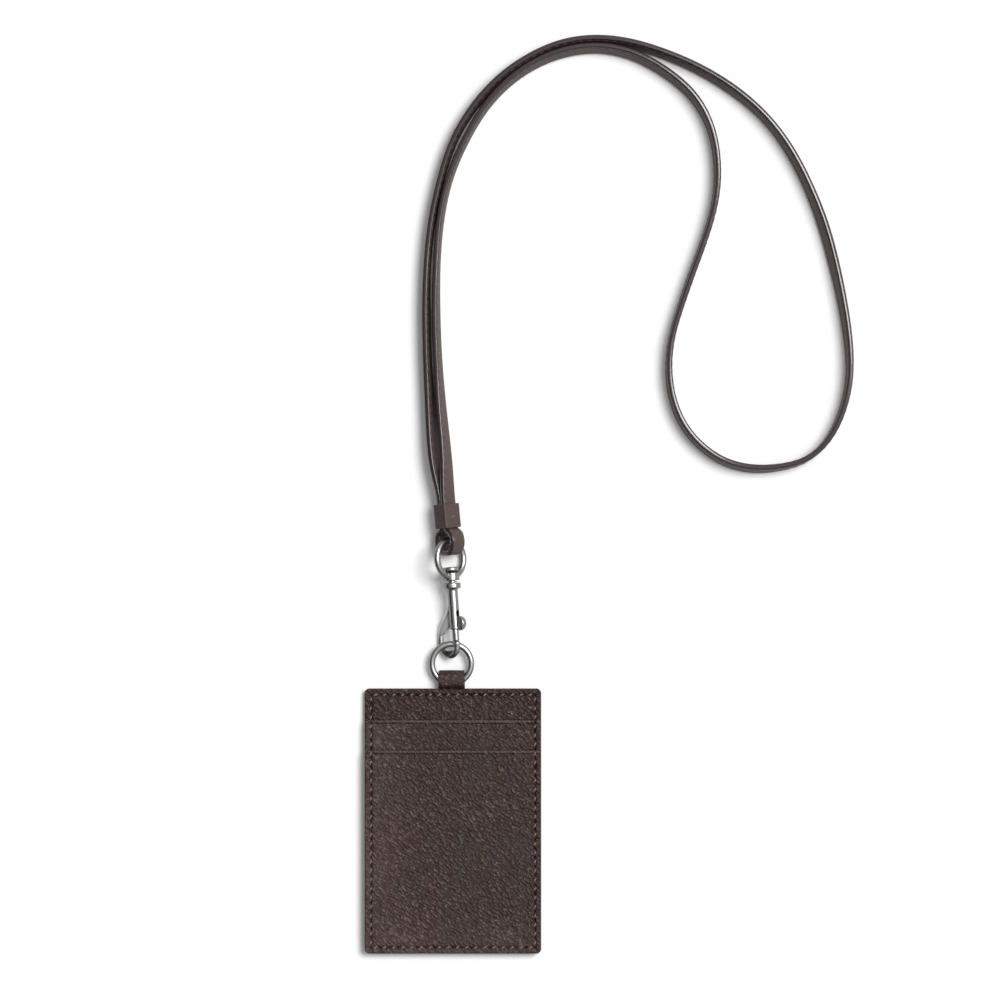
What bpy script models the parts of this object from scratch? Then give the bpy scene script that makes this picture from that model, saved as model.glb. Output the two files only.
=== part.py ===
"""Leather card holder on a neck strap, with a tab ring and a swivel snap hook.

Metres, +Z up. The holder lies on its back at Z = 0 with the origin at the middle of its back
face, +Y runs up the lanyard and +X to the right. Sizes below are in millimetres.
"""
import math

import bmesh
import bpy
import numpy as np
from mathutils import Matrix, Vector

MM = 0.001
GAP = 0.3
WELD_MM = 0.002
SMOOTH_DEG = 35

# Card holder
HOLDER_HALF_WIDTH = 36.0
HOLDER_BOTTOM_Y = -54.1
HOLDER_TOP_Y = 53.9
HOLDER_CORNER = 2.0
CORNER_STEPS = 5
REAR_POCKET_TOP_Y = 41.3
FRONT_POCKET_TOP_Y = 29.0
BACK_LAYER = (0.0, 0.9)
BOARD_LAYER = (1.2, 1.8)
BASE_LAYER = (2.1, 3.0)
REAR_POCKET_LAYER = (3.3, 4.1)
FRONT_POCKET_LAYER = (4.4, 5.2)
LEATHER_EDGE_BEVEL = 0.2
BOARD_HALF_WIDTH = 31.5
BOARD_BOTTOM_Y = -49.5
BOARD_TOP_Y = 46.0

# Edge stitching
STITCH_INSET = 2.55
STITCH_PITCH = 3.65
THREAD_RADIUS = 0.2
THREAD_DIP = 0.6
SEAM_CORNER = 1.5
STEP_REACH = 2.2
BACK_THREAD_Z = 0.2
BACK_THREAD_RADIUS = 0.15
GROOVE_HALF_WIDTH = 0.5
GROOVE_DEPTH = 0.62

# Ring tab, outline across its thickness as (y, z)
TAB_CENTRE_X = -0.53
TAB_HALF_WIDTH = 5.4
TAB_BEVEL = 0.15
TAB_OUTER = [
    (47.0, 1.2), (53.2, 1.2), (54.6, 0.85), (56.2, 0.45), (58.6, 0.5), (60.0, 1.0), (61.0, 1.9),
    (61.35, 3.0), (61.0, 4.1), (60.0, 5.0), (58.6, 5.5), (56.2, 5.55), (54.9, 4.9), (54.25, 3.4),
    (54.2, 2.2), (53.9, 1.8), (47.0, 1.8),
]
TAB_INNER = [
    (54.55, 3.0), (54.95, 4.0), (55.7, 4.55), (57.0, 4.65), (58.6, 4.6), (59.8, 4.0), (60.4, 3.0),
    (59.8, 2.0), (58.6, 1.4), (57.0, 1.35), (55.7, 1.45), (54.95, 2.0),
]

# Tab ring
RING_RADIUS = 8.0
RING_WIRE = 1.25
RING_CENTRE = (TAB_CENTRE_X, 64.1, 3.54)
RING_TILT_DEG = 3.9
RING_STEPS = 60
RING_WIRE_STEPS = 16

# Snap hook: U points to the thumb stud, A runs along the barrel to the eye
HOOK_ORIGIN = (0.15, 90.0, 6.8)
HOOK_TURN_DEG = 4.05
HOOK_LEAN_DEG = 42.0
BARREL_RADIUS = 2.1
BARREL_TOP_A = 4.83
BARREL_END_A = -11.87
BARREL_LIP_RADIUS = 2.3
BORE_RADIUS = 1.65
BORE_TOP_A = 3.6
COLLAR_RADIUS = 3.5
COLLAR_TOP_A = 7.04
POST_HOLE_BOTTOM_A = 5.3
SLOT_HALF_WIDTH = 0.95
SLOT_TOP_A = -3.97
SLOT_END_A = -10.5
ARM_RADIUS = 1.15
ARM_POINT_SPACING = 1.1
TIP_A = -17.0
TIP_U = 0.4
TIP_CUP_RADIUS = 1.3
# The arm from the barrel round the claw to the tip, as (u, a)
ARM_ROUTE = [
    (-0.9, -0.9), (-2.4, -4.5), (-5.2, -8.2), (-7.6, -12.3), (-8.3, -16.0), (-8.15, -18.9),
    (-6.3, -21.5), (-3.4, -22.6), (-1.2, -21.8), (0.15, -19.8), (TIP_U, TIP_A - 0.4),
]
WEB_HALF_THICKNESS = 1.0
WEB_BEVEL = 0.25
WEB_OUTLINE = [
    (-0.4, -1.6), (-2.4, -4.5), (-5.2, -8.2), (-7.5, -12.3), (-8.1, -14.6), (-7.6, -15.0),
    (-6.9, -13.8), (-5.7, -12.8), (-3.9, -12.1), (-0.4, -11.2),
]
# Plate that fills the bottom of the claw
CLAW_OUTLINE = [
    (-7.1, -20.7), (-6.1, -21.6), (-3.4, -22.6), (-1.2, -21.8), (-0.5, -20.7), (-1.6, -20.3),
    (-3.4, -20.3), (-5.2, -20.5),
]
TURNED_STEPS = 32

# Bolt, thumb stud and spring
BOLT_RADIUS = 1.35
BOLT_TOP_A = -6.5
BOLT_END_A = -16.7
STUD_A = -9.52
STUD_NECK_RADIUS = 0.65
STUD_RADIUS = 3.0
STUD_FOOT_U = 2.6
STUD_HALF_THICKNESS = 1.2
STUD_BEVEL = 0.3
STUD_STEPS = 14
STUD_NECK_START_U = 0.3
STUD_HOLE_RADIUS = STUD_NECK_RADIUS + GAP
SPRING_COIL_RADIUS = 1.15
SPRING_WIRE = 0.2
SPRING_TURNS = 8
SPRING_POINTS_PER_TURN = 9
SPRING_BOTTOM_A = -6.0
SPRING_TOP_A = 3.1

# Swivel
EYE_RADIUS = 7.45
EYE_WIRE = 1.3
EYE_CENTRE_A = 16.98
EYE_LEAN_DEG = 45.0
EYE_STEPS = 56
BOSS_RADIUS = 3.2
BOSS_CHAMFER = 0.3
BOSS_BOTTOM_A = 8.06
BOSS_TOP_A = 11.13
POST_RADIUS = 1.2
RIVET_PROFILE = [
    (0.0, 13.5), (2.75, 13.5), (3.1, 13.35), (3.2, 13.05), (3.2, 12.25), (2.95, 11.95),
    (2.2, 11.5), (POST_RADIUS, 11.46), (POST_RADIUS, 5.6), (0.0, 5.6),
]
WASHER_RADIUS = 2.1
WASHER_LAYER = (7.35, 7.75)

# Strap, keeper and the loop folded through the eye
STRAP_WIDTH = 7.0
STRAP_THICKNESS = 2.2
STRAP_POINT_SPACING = 12.5
REST_CLEARANCE = 0.1
KEEPER_CENTRE = (-2.29, 124.3, 6.5)
KEEPER_TURN_DEG = 5.2
KEEPER_HALF_LENGTH = 4.9
KEEPER_ACROSS_WIDTH = 9.0
KEEPER_ACROSS_STACK = 6.7
KEEPER_WALL = 0.7
KEEPER_CORNER = 0.85
STRAND_OFFSET = 1.25
LOOP_END_K = 5.2
STRAP_START_K = 5.5
# Half of the folded loop, as (distance from the middle plane, distance along the keeper's axis)
LOOP_HALF = [
    (1.25, -4.6), (1.5, -5.55), (2.15, -6.2), (3.0, -6.7), (3.8, -7.5), (4.3, -8.6),
    (4.5, -9.9), (4.4, -11.5), (4.0, -12.8), (3.2, -13.9), (1.8, -14.7),
]
LOOP_BOTTOM_K = -14.95
TACK_TURNS = 4
TACK_PITCH = 0.55
TACK_HEIGHT = 0.8
TACK_CENTRE_K = -0.3

# Route of the neck strap as (x, y, lean from upright in degrees, + to the right of the heading)
RISE_LENGTH = 55.0
STRAP_ROUTE = [
    (-6.6, 143, -34), (-8.9, 163, -26), (-10.3, 187, -17), (-10.8, 206, -15), (-10.5, 225, -10),
    (-8.4, 245, -11), (-4.9, 261.5, -10), (0, 276.3, -11), (8.2, 290.4, -13), (18.8, 302, -17),
    (32, 311.2, -19), (45, 316.5, -21), (58, 318.2, -22), (71, 317, -21), (86.5, 312.5, -20),
    (101.3, 305.9, -22), (115.2, 297.2, -22), (127.5, 286.4, -18), (137.3, 273.3, -19),
    (144.9, 258.7, -20), (150.8, 243.5, -24), (155.1, 228.2, -23), (158.5, 212.9, -18),
    (161, 197.1, -14), (161.6, 181.2, -8), (158.3, 166, -6), (149.6, 151.6, 0), (142.3, 146.6, 5),
    (134.1, 144.3, 9), (126, 143.5, 13), (118, 144.2, 14), (110.3, 146.7, 13), (103.4, 151, 12),
    (97.6, 156.5, 12), (93.1, 163.1, 11), (90, 170.7, 10), (88.1, 182.5, 7), (88.9, 194.8, 4),
    (93.1, 210.4, 5), (98.4, 225.6, 6), (103.9, 241.1, 5), (107.3, 255.5, 6), (107.6, 269.5, 9),
    (105.3, 281.6, 12), (97.8, 295.4, 18), (86.6, 305.2, 22), (73, 312.4, 23), (60, 315, 22),
    (49, 314.2, 22), (37.5, 310.6, 20), (25.4, 303.4, 17), (13.9, 291.8, 13), (5.3, 277.8, 11),
    (-1.2, 262.4, 10), (-4.9, 246.3, 11), (-6.6, 226, 10), (-6.9, 208, 15), (-6.2, 188, 17),
    (-4.6, 166, 25), (-2.8, 146, 34),
]

HOLDER_LEATHER = ("holder_leather", (0.066, 0.045, 0.038), 0.6, 0.0)
STRAP_LEATHER = ("strap_leather", (0.12, 0.095, 0.085), 0.55, 0.0)
THREAD = ("thread", (0.35, 0.2, 0.15), 0.8, 0.0)
BOARD = ("board", (0.25, 0.2, 0.15), 0.9, 0.0)
PLATED_METAL = ("plated_metal", (0.62, 0.62, 0.61), 0.25, 1.0)
SPRING_STEEL = ("spring_steel", (0.5, 0.5, 0.5), 0.35, 1.0)


def clear_scene():
    """Remove what the scene holds and return the collections for the parts and the cutters."""
    for thing in list(bpy.data.objects):
        bpy.data.objects.remove(thing)
    collections = []
    for name in ("lanyard_card_holder", "cutters"):
        collection = bpy.data.collections.new(name)
        bpy.context.scene.collection.children.link(collection)
        collections.append(collection)
    return collections


def material(slot):
    """The Principled material of a slot, made at its first use."""
    name, colour, roughness, metallic = slot
    found = bpy.data.materials.get(name)
    if found:
        return found
    made = bpy.data.materials.new(name)
    made.use_nodes = True
    shader = made.node_tree.nodes["Principled BSDF"]
    shader.inputs["Base Color"].default_value = (*colour, 1.0)
    shader.inputs["Roughness"].default_value = roughness
    shader.inputs["Metallic"].default_value = metallic
    return made


def frame_at(origin, turn_deg, lean_deg):
    """A frame whose Y is level and turned from +Y, and whose X leans up from level."""
    turn = math.radians(turn_deg)
    lean = math.radians(lean_deg)
    x_axis = Vector((math.cos(lean) * math.cos(turn), math.cos(lean) * math.sin(turn), math.sin(lean)))
    y_axis = Vector((-math.sin(turn), math.cos(turn), 0.0))
    z_axis = x_axis.cross(y_axis)
    rotation = Matrix((x_axis, y_axis, z_axis)).transposed().to_4x4()
    return Matrix.Translation(Vector(origin) * MM) @ rotation


def shift(x, y, z):
    """A move by millimetres."""
    return Matrix.Translation(Vector((x, y, z)) * MM)


def turn_about(axis, degrees):
    """A turn about one axis."""
    return Matrix.Rotation(math.radians(degrees), 4, axis)


# Turned pieces are made along local Z, so this lays Z along a frame's Y
Z_TO_Y = turn_about("X", -90)
# The thumb stud's neck and the eye turn about a frame's X
Z_TO_X = turn_about("Y", 90)
# Outlines drawn as (y, z) and thickened along X
OUTLINE_YZ = Matrix(((0, 0, 1, 0), (1, 0, 0, 0), (0, 1, 0, 0), (0, 0, 0, 1)))
# Outlines drawn as (z, x) of a frame and thickened along its Y
OUTLINE_ZX = Matrix(((0, 1, 0, 0), (0, 0, 1, 0), (1, 0, 0, 0), (0, 0, 0, 1)))

HOOK_FRAME = frame_at(HOOK_ORIGIN, HOOK_TURN_DEG, HOOK_LEAN_DEG)
EYE_FRAME = frame_at(HOOK_ORIGIN, HOOK_TURN_DEG, EYE_LEAN_DEG)
KEEPER_FRAME = frame_at(KEEPER_CENTRE, KEEPER_TURN_DEG, EYE_LEAN_DEG)


def finish_object(name, data, matrix, slot, collection):
    """Put mesh or curve data in the scene at its place, with its material."""
    thing = bpy.data.objects.new(name, data)
    data.materials.append(material(slot))
    thing.matrix_world = matrix
    collection.objects.link(thing)
    return thing


def as_cutter(thing):
    """Mark a shape as a cutter, which no render or export shows."""
    thing.hide_render = True
    thing.display_type = "WIRE"
    return thing


def smooth(thing):
    """Shade a round piece smooth, keeping its sharp edges."""
    for face in thing.data.polygons:
        face.use_smooth = True
    thing.data.set_sharp_from_angle(angle=math.radians(SMOOTH_DEG))
    return thing


def curve_to_mesh(thing, collection):
    """Replace a curve by its welded mesh, so that it can be joined or cut."""
    graph = bpy.context.evaluated_depsgraph_get()
    mesh = bpy.data.meshes.new_from_object(thing.evaluated_get(graph))
    work = bmesh.new()
    work.from_mesh(mesh)
    bmesh.ops.remove_doubles(work, verts=work.verts, dist=WELD_MM * MM)
    work.to_mesh(mesh)
    work.free()
    name = thing.name
    matrix = thing.matrix_world.copy()
    bpy.data.objects.remove(thing)
    made = bpy.data.objects.new(name, mesh)
    made.matrix_world = matrix
    collection.objects.link(made)
    return made


def combine(target, other, operation):
    """Join, or cut, a piece with a shape kept among the cutters."""
    step = target.modifiers.new(f"{operation.lower()}_{other.name}", "BOOLEAN")
    step.operation = operation
    step.solver = "EXACT"
    step.object = as_cutter(other)


def turned(name, profile, matrix, slot, collection, closed=False, steps=TURNED_STEPS):
    """A turned solid from (radius, height) points that run down its outer side."""
    work = bmesh.new()
    points = [work.verts.new((radius * MM, 0.0, height * MM)) for radius, height in profile]
    for first, second in zip(points, points[1:]):
        work.edges.new((first, second))
    if closed:
        work.edges.new((points[-1], points[0]))
    mesh = bpy.data.meshes.new(name)
    work.to_mesh(mesh)
    work.free()
    thing = finish_object(name, mesh, matrix, slot, collection)
    spin = thing.modifiers.new("turn", "SCREW")
    spin.steps = steps
    spin.render_steps = steps
    spin.use_merge_vertices = True
    spin.merge_threshold = WELD_MM * MM
    spin.use_smooth_shade = True
    graph = bpy.context.evaluated_depsgraph_get()
    solid = bpy.data.meshes.new_from_object(thing.evaluated_get(graph))
    thing.modifiers.clear()
    thing.data = solid
    bpy.data.meshes.remove(mesh)
    return smooth(thing)


def cylinder(name, radius, low, high, matrix, slot, collection):
    """A plain rod between two heights of its own Z."""
    profile = [(0.0, high), (radius, high), (radius, low), (0.0, low)]
    return turned(name, profile, matrix, slot, collection)


def outline_solid(name, outlines, half_thickness, bevel, matrix, slot, collection):
    """A flat outline, with holes, thickened both ways and bevelled round its edges."""
    data = bpy.data.curves.new(name, "CURVE")
    data.dimensions = "2D"
    data.fill_mode = "BOTH"
    data.extrude = (half_thickness - bevel) * MM
    data.bevel_depth = bevel * MM
    data.bevel_resolution = 0
    data.offset = -bevel * MM
    for outline in outlines:
        spline = data.splines.new("POLY")
        spline.points.add(len(outline) - 1)
        for point, (x, y) in zip(spline.points, outline):
            point.co = (x * MM, y * MM, 0.0, 1.0)
        spline.use_cyclic_u = True
    return finish_object(name, data, matrix, slot, collection)


def rounded_rectangle(x_low, x_high, y_low, y_high, radius):
    """Corner points of a rectangle with rounded corners, counterclockwise."""
    centres = [
        (x_high - radius, y_low + radius, -90), (x_high - radius, y_high - radius, 0),
        (x_low + radius, y_high - radius, 90), (x_low + radius, y_low + radius, 180),
    ]
    points = []
    for x, y, start in centres:
        for step in range(CORNER_STEPS + 1):
            angle = math.radians(start + 90 * step / CORNER_STEPS)
            points.append((x + radius * math.cos(angle), y + radius * math.sin(angle)))
    return points


def tube(name, points, radius, resolution, matrix, slot, collection):
    """A round tube along points, with filled ends."""
    data = bpy.data.curves.new(name, "CURVE")
    data.dimensions = "3D"
    data.bevel_depth = radius * MM
    data.bevel_resolution = resolution
    data.use_fill_caps = True
    spline = data.splines.new("POLY")
    spline.points.add(len(points) - 1)
    for point, place in zip(spline.points, points):
        point.co = (*(value * MM for value in place), 1.0)
    return finish_object(name, data, matrix, slot, collection)


def flat_strap(name, points, leans, matrix, slot, collection):
    """A flat strap on edge along points, leaning from upright by the given angles."""
    data = bpy.data.curves.new(name, "CURVE")
    data.dimensions = "3D"
    data.twist_mode = "Z_UP"
    data.extrude = (STRAP_WIDTH - STRAP_THICKNESS) / 2 * MM
    data.bevel_depth = STRAP_THICKNESS / 2 * MM
    data.bevel_resolution = 1
    data.use_fill_caps = True
    spline = data.splines.new("POLY")
    spline.points.add(len(points) - 1)
    for point, place, lean in zip(spline.points, points, leans):
        point.co = (*(value * MM for value in place), 1.0)
        point.tilt = math.radians(lean)
    return finish_object(name, data, matrix, slot, collection)


def torus(name, radius, wire, steps, matrix, slot, collection):
    """A round wire ring about its own Z."""
    bpy.ops.mesh.primitive_torus_add(
        major_segments=steps, minor_segments=RING_WIRE_STEPS,
        major_radius=radius * MM, minor_radius=wire * MM)
    made = bpy.context.object
    data = made.data
    bpy.data.objects.remove(made)
    data.name = name
    return smooth(finish_object(name, data, matrix, slot, collection))


def block(name, place, size, slot, collection):
    """A plain block at a frame."""
    work = bmesh.new()
    scale = Matrix.Diagonal((size[0] * MM, size[1] * MM, size[2] * MM, 1.0))
    bmesh.ops.create_cube(work, size=1.0, matrix=place @ scale)
    mesh = bpy.data.meshes.new(name)
    work.to_mesh(mesh)
    work.free()
    return finish_object(name, mesh, Matrix.Identity(4), slot, collection)


def cubic_through(points, spacing):
    """Points of a natural cubic spline through the given rows, evenly spaced along it."""
    rows = np.asarray(points, float)
    knots = np.concatenate([[0.0], np.cumsum(np.linalg.norm(np.diff(rows[:, :2], axis=0), axis=1))])
    gaps = np.diff(knots)
    count = len(rows)
    system = np.eye(count)
    target = np.zeros_like(rows)
    slopes = np.diff(rows, axis=0) / gaps[:, None]
    for row in range(1, count - 1):
        system[row, row - 1:row + 2] = (gaps[row - 1], 2 * (gaps[row - 1] + gaps[row]), gaps[row])
        target[row] = 6 * (slopes[row] - slopes[row - 1])
    bend = np.linalg.solve(system, target)
    along = np.linspace(0.0, knots[-1], 4000)
    at = np.clip(np.searchsorted(knots, along, side="right") - 1, 0, count - 2)
    width = gaps[at][:, None]
    left = (along - knots[at])[:, None]
    right = width - left
    dense = (bend[at] * right ** 3 + bend[at + 1] * left ** 3) / (6 * width)
    dense += (rows[at] / width - bend[at] * width / 6) * right
    dense += (rows[at + 1] / width - bend[at + 1] * width / 6) * left
    reach = np.concatenate([[0.0], np.cumsum(np.linalg.norm(np.diff(dense[:, :2], axis=0), axis=1))])
    places = np.linspace(0.0, reach[-1], int(round(reach[-1] / spacing)) + 1)
    even = [np.interp(places, reach, dense[:, column]) for column in range(rows.shape[1])]
    return np.column_stack(even), places


def strap_line():
    """Centre points and leans of the neck strap from the keeper round to the keeper again."""
    ends = []
    for side in (-1, 1):
        at = KEEPER_FRAME @ (Vector((side * STRAND_OFFSET, STRAP_START_K, 0.0)) * MM)
        beyond = KEEPER_FRAME @ (Vector((side * STRAND_OFFSET, STRAP_START_K + 3.0, 0.0)) * MM)
        lean = side * EYE_LEAN_DEG
        ends.append([(at.x / MM, at.y / MM, lean), (beyond.x / MM, beyond.y / MM, lean)])
    rows = ends[0] + STRAP_ROUTE + ends[1][::-1]
    line, places = cubic_through(rows, STRAP_POINT_SPACING)
    lean = np.radians(np.abs(line[:, 2]))
    rest = STRAP_WIDTH / 2 * np.cos(lean) + STRAP_THICKNESS / 2 * np.sin(lean) + REST_CLEARANCE
    rise = math.sin(math.radians(EYE_LEAN_DEG)) * STRAND_OFFSET
    near_start = np.clip(1 - places / RISE_LENGTH, 0, 1)
    near_end = np.clip(1 - (places[-1] - places) / RISE_LENGTH, 0, 1)
    height = rest
    for nearness, level in ((near_start, KEEPER_CENTRE[2] - rise), (near_end, KEEPER_CENTRE[2] + rise)):
        share = nearness ** 2 * (3 - 2 * nearness)
        height = height + share * (level - height)
    points = np.column_stack([line[:, 0], line[:, 1], height])
    return points, line[:, 2]


def make_holder(parts, cutters):
    """The five flat layers of the holder; the back one has a groove for its seam."""
    full = (-HOLDER_HALF_WIDTH, HOLDER_HALF_WIDTH, HOLDER_BOTTOM_Y)
    board = (-BOARD_HALF_WIDTH, BOARD_HALF_WIDTH, BOARD_BOTTOM_Y)
    layers = [
        ("back_panel", full, HOLDER_TOP_Y, BACK_LAYER, HOLDER_LEATHER),
        ("stiffener_board", board, BOARD_TOP_Y, BOARD_LAYER, BOARD),
        ("front_base_panel", full, HOLDER_TOP_Y, BASE_LAYER, HOLDER_LEATHER),
        ("rear_pocket_panel", full, REAR_POCKET_TOP_Y, REAR_POCKET_LAYER, HOLDER_LEATHER),
        ("front_pocket_panel", full, FRONT_POCKET_TOP_Y, FRONT_POCKET_LAYER, HOLDER_LEATHER),
    ]
    for name, (x_low, x_high, y_low), y_high, (z_low, z_high), slot in layers:
        outline = rounded_rectangle(x_low, x_high, y_low, y_high, HOLDER_CORNER)
        middle = shift(0, 0, (z_low + z_high) / 2)
        half = (z_high - z_low) / 2
        outline_solid(name, [outline], half, LEATHER_EDGE_BEVEL, middle, slot, parts)
    rings = [seam_rectangle(GROOVE_HALF_WIDTH), seam_rectangle(-GROOVE_HALF_WIDTH)]
    groove = outline_solid("groove_cutter", rings, GROOVE_DEPTH, 0.0, Matrix.Identity(4),
                           HOLDER_LEATHER, cutters)
    groove = curve_to_mesh(groove, cutters)
    back = curve_to_mesh(bpy.data.objects["back_panel"], parts)
    combine(back, groove, "DIFFERENCE")


def seam_rectangle(outward):
    """The rounded line of the edge seam, moved outwards."""
    side = HOLDER_HALF_WIDTH - STITCH_INSET + outward
    low = HOLDER_BOTTOM_Y + STITCH_INSET - outward
    high = HOLDER_TOP_Y - STITCH_INSET + outward
    return rounded_rectangle(-side, side, low, high, SEAM_CORNER + outward)


def front_level(y):
    """Height of the front leather under a place of the seam."""
    if y - STEP_REACH < FRONT_POCKET_TOP_Y:
        return FRONT_POCKET_LAYER[1]
    if y - STEP_REACH < REAR_POCKET_TOP_Y:
        return REAR_POCKET_LAYER[1]
    return BASE_LAYER[1]


def seam_points():
    """Points round the seam, two to a stitch."""
    corners = np.array(seam_rectangle(0.0))
    loop = np.vstack([corners, corners[:1]])
    reach = np.concatenate([[0.0], np.cumsum(np.linalg.norm(np.diff(loop, axis=0), axis=1))])
    count = 2 * int(round(reach[-1] / STITCH_PITCH))
    places = np.linspace(0.0, reach[-1], count, endpoint=False)
    x = np.interp(places, reach, loop[:, 0])
    y = np.interp(places, reach, loop[:, 1])
    return list(zip(x, y))


def closed_thread(name, points, radius, parts):
    """A closed thread whose stitches are full in the middle and thin where they dip in."""
    thread = tube(name, points, radius, 0, Matrix.Identity(4), THREAD, parts)
    thread.data.use_fill_caps = False
    spline = thread.data.splines[0]
    spline.use_cyclic_u = True
    for place, point in enumerate(spline.points):
        point.radius = THREAD_DIP if place % 2 else 1.0


def make_stitching(parts):
    """The edge seam as seen on the front, and on the back inside its groove."""
    lift = GAP + THREAD_RADIUS
    front = [(x, y, front_level(y) + lift) for x, y in seam_points()]
    back = [(x, y, BACK_THREAD_Z) for x, y in seam_points()]
    closed_thread("front_edge_stitching", front, THREAD_RADIUS, parts)
    closed_thread("back_edge_stitching", back, BACK_THREAD_RADIUS, parts)


def make_tab_and_ring(parts):
    """The leather tab with its hollow, and the wire ring through it."""
    place = shift(TAB_CENTRE_X, 0, 0) @ OUTLINE_YZ
    outline_solid("ring_tab", [TAB_OUTER, TAB_INNER], TAB_HALF_WIDTH, TAB_BEVEL, place,
                  HOLDER_LEATHER, parts)
    ring_place = shift(*RING_CENTRE) @ turn_about("X", RING_TILT_DEG)
    torus("tab_ring", RING_RADIUS, RING_WIRE, RING_STEPS, ring_place, PLATED_METAL, parts)


def make_hook(parts, cutters):
    """The cast hook: turned barrel and collar, web, bent arm and tip cup."""
    along = HOOK_FRAME @ Z_TO_Y
    profile = [
        (0.0, COLLAR_TOP_A), (3.0, COLLAR_TOP_A), (3.35, 6.8), (COLLAR_RADIUS, 6.4),
        (COLLAR_RADIUS, 5.5), (3.35, 5.05), (3.0, BARREL_TOP_A), (BARREL_RADIUS, 4.6),
        (BARREL_RADIUS, -10.9), (BARREL_LIP_RADIUS, -11.1), (BARREL_LIP_RADIUS, -11.65),
        (2.1, BARREL_END_A), (0.0, BARREL_END_A),
    ]
    body = turned("hook_body", profile, along, PLATED_METAL, parts)
    web = outline_solid("web_shape", [WEB_OUTLINE, CLAW_OUTLINE], WEB_HALF_THICKNESS, WEB_BEVEL,
                        HOOK_FRAME, PLATED_METAL, cutters)
    web = curve_to_mesh(web, cutters)
    line, _ = cubic_through(ARM_ROUTE, ARM_POINT_SPACING)
    route = [(u, a, 0.0) for u, a in line]
    arm = tube("arm_shape", route, ARM_RADIUS, 5, HOOK_FRAME, PLATED_METAL, cutters)
    arm = curve_to_mesh(arm, cutters)
    cup_profile = [
        (0.0, TIP_A), (1.1, TIP_A), (TIP_CUP_RADIUS, TIP_A - 0.25), (TIP_CUP_RADIUS, TIP_A - 0.9),
        (1.1, TIP_A - 1.9), (0.0, TIP_A - 1.9),
    ]
    cup_place = HOOK_FRAME @ shift(TIP_U, 0, 0) @ Z_TO_Y
    cup = turned("tip_cup_shape", cup_profile, cup_place, PLATED_METAL, cutters)
    bore = cylinder("bore_cutter", BORE_RADIUS, BARREL_END_A - 1, BORE_TOP_A, along,
                    PLATED_METAL, cutters)
    post_hole = cylinder("post_hole_cutter", POST_RADIUS + GAP, POST_HOLE_BOTTOM_A,
                         COLLAR_TOP_A + 1, along, PLATED_METAL, cutters)
    slot_middle = shift(2.0, (SLOT_TOP_A + SLOT_END_A) / 2, 0)
    slot_size = (4.0, SLOT_TOP_A - SLOT_END_A, 2 * SLOT_HALF_WIDTH)
    slot = block("slot_cutter", HOOK_FRAME @ slot_middle, slot_size, PLATED_METAL, cutters)
    for shape in (web, arm, cup):
        combine(body, shape, "UNION")
    for shape in (bore, post_hole, slot):
        combine(body, shape, "DIFFERENCE")


def make_bolt(parts, cutters):
    """The bolt, its thumb stud and the spring behind it."""
    along = HOOK_FRAME @ Z_TO_Y
    profile = [
        (0.0, BOLT_TOP_A), (1.2, BOLT_TOP_A), (BOLT_RADIUS, BOLT_TOP_A - 0.15),
        (BOLT_RADIUS, BOLT_END_A + 0.35), (1.1, BOLT_END_A), (0.0, BOLT_END_A),
    ]
    bolt = turned("bolt", profile, along, PLATED_METAL, parts)
    stud_place = HOOK_FRAME @ shift(0, STUD_A, 0) @ Z_TO_X
    hole = cylinder("stud_hole_cutter", STUD_HOLE_RADIUS, 0.0, 2.0, stud_place,
                    PLATED_METAL, cutters)
    combine(bolt, hole, "DIFFERENCE")
    make_thumb_stud(stud_place, parts, cutters)
    count = SPRING_TURNS * SPRING_POINTS_PER_TURN
    points = []
    for step in range(count + 1):
        angle = 2 * math.pi * step / SPRING_POINTS_PER_TURN
        height = SPRING_BOTTOM_A + (SPRING_TOP_A - SPRING_BOTTOM_A) * step / count
        points.append((SPRING_COIL_RADIUS * math.cos(angle), SPRING_COIL_RADIUS * math.sin(angle), height))
    tube("bolt_spring", points, SPRING_WIRE, 1, along, SPRING_STEEL, parts)
    pitch = (SPRING_TOP_A - SPRING_BOTTOM_A) / SPRING_TURNS
    print(f"spring gap to itself {pitch - 2 * SPRING_WIRE:.2f} mm")


def make_thumb_stud(stud_place, parts, cutters):
    """The half-round thumb piece on its neck."""
    outline = []
    for step in range(STUD_STEPS + 1):
        angle = math.pi * (step / STUD_STEPS - 0.5)
        u = STUD_FOOT_U + STUD_RADIUS * math.cos(angle)
        outline.append((u, STUD_A + STUD_RADIUS * math.sin(angle)))
    head = outline_solid("thumb_stud", [outline], STUD_HALF_THICKNESS, STUD_BEVEL, HOOK_FRAME,
                         PLATED_METAL, parts)
    head = curve_to_mesh(head, parts)
    neck_end = STUD_FOOT_U + STUD_RADIUS / 2
    neck = cylinder("stud_neck_shape", STUD_NECK_RADIUS, STUD_NECK_START_U, neck_end, stud_place,
                    PLATED_METAL, cutters)
    combine(head, neck, "UNION")


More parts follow.
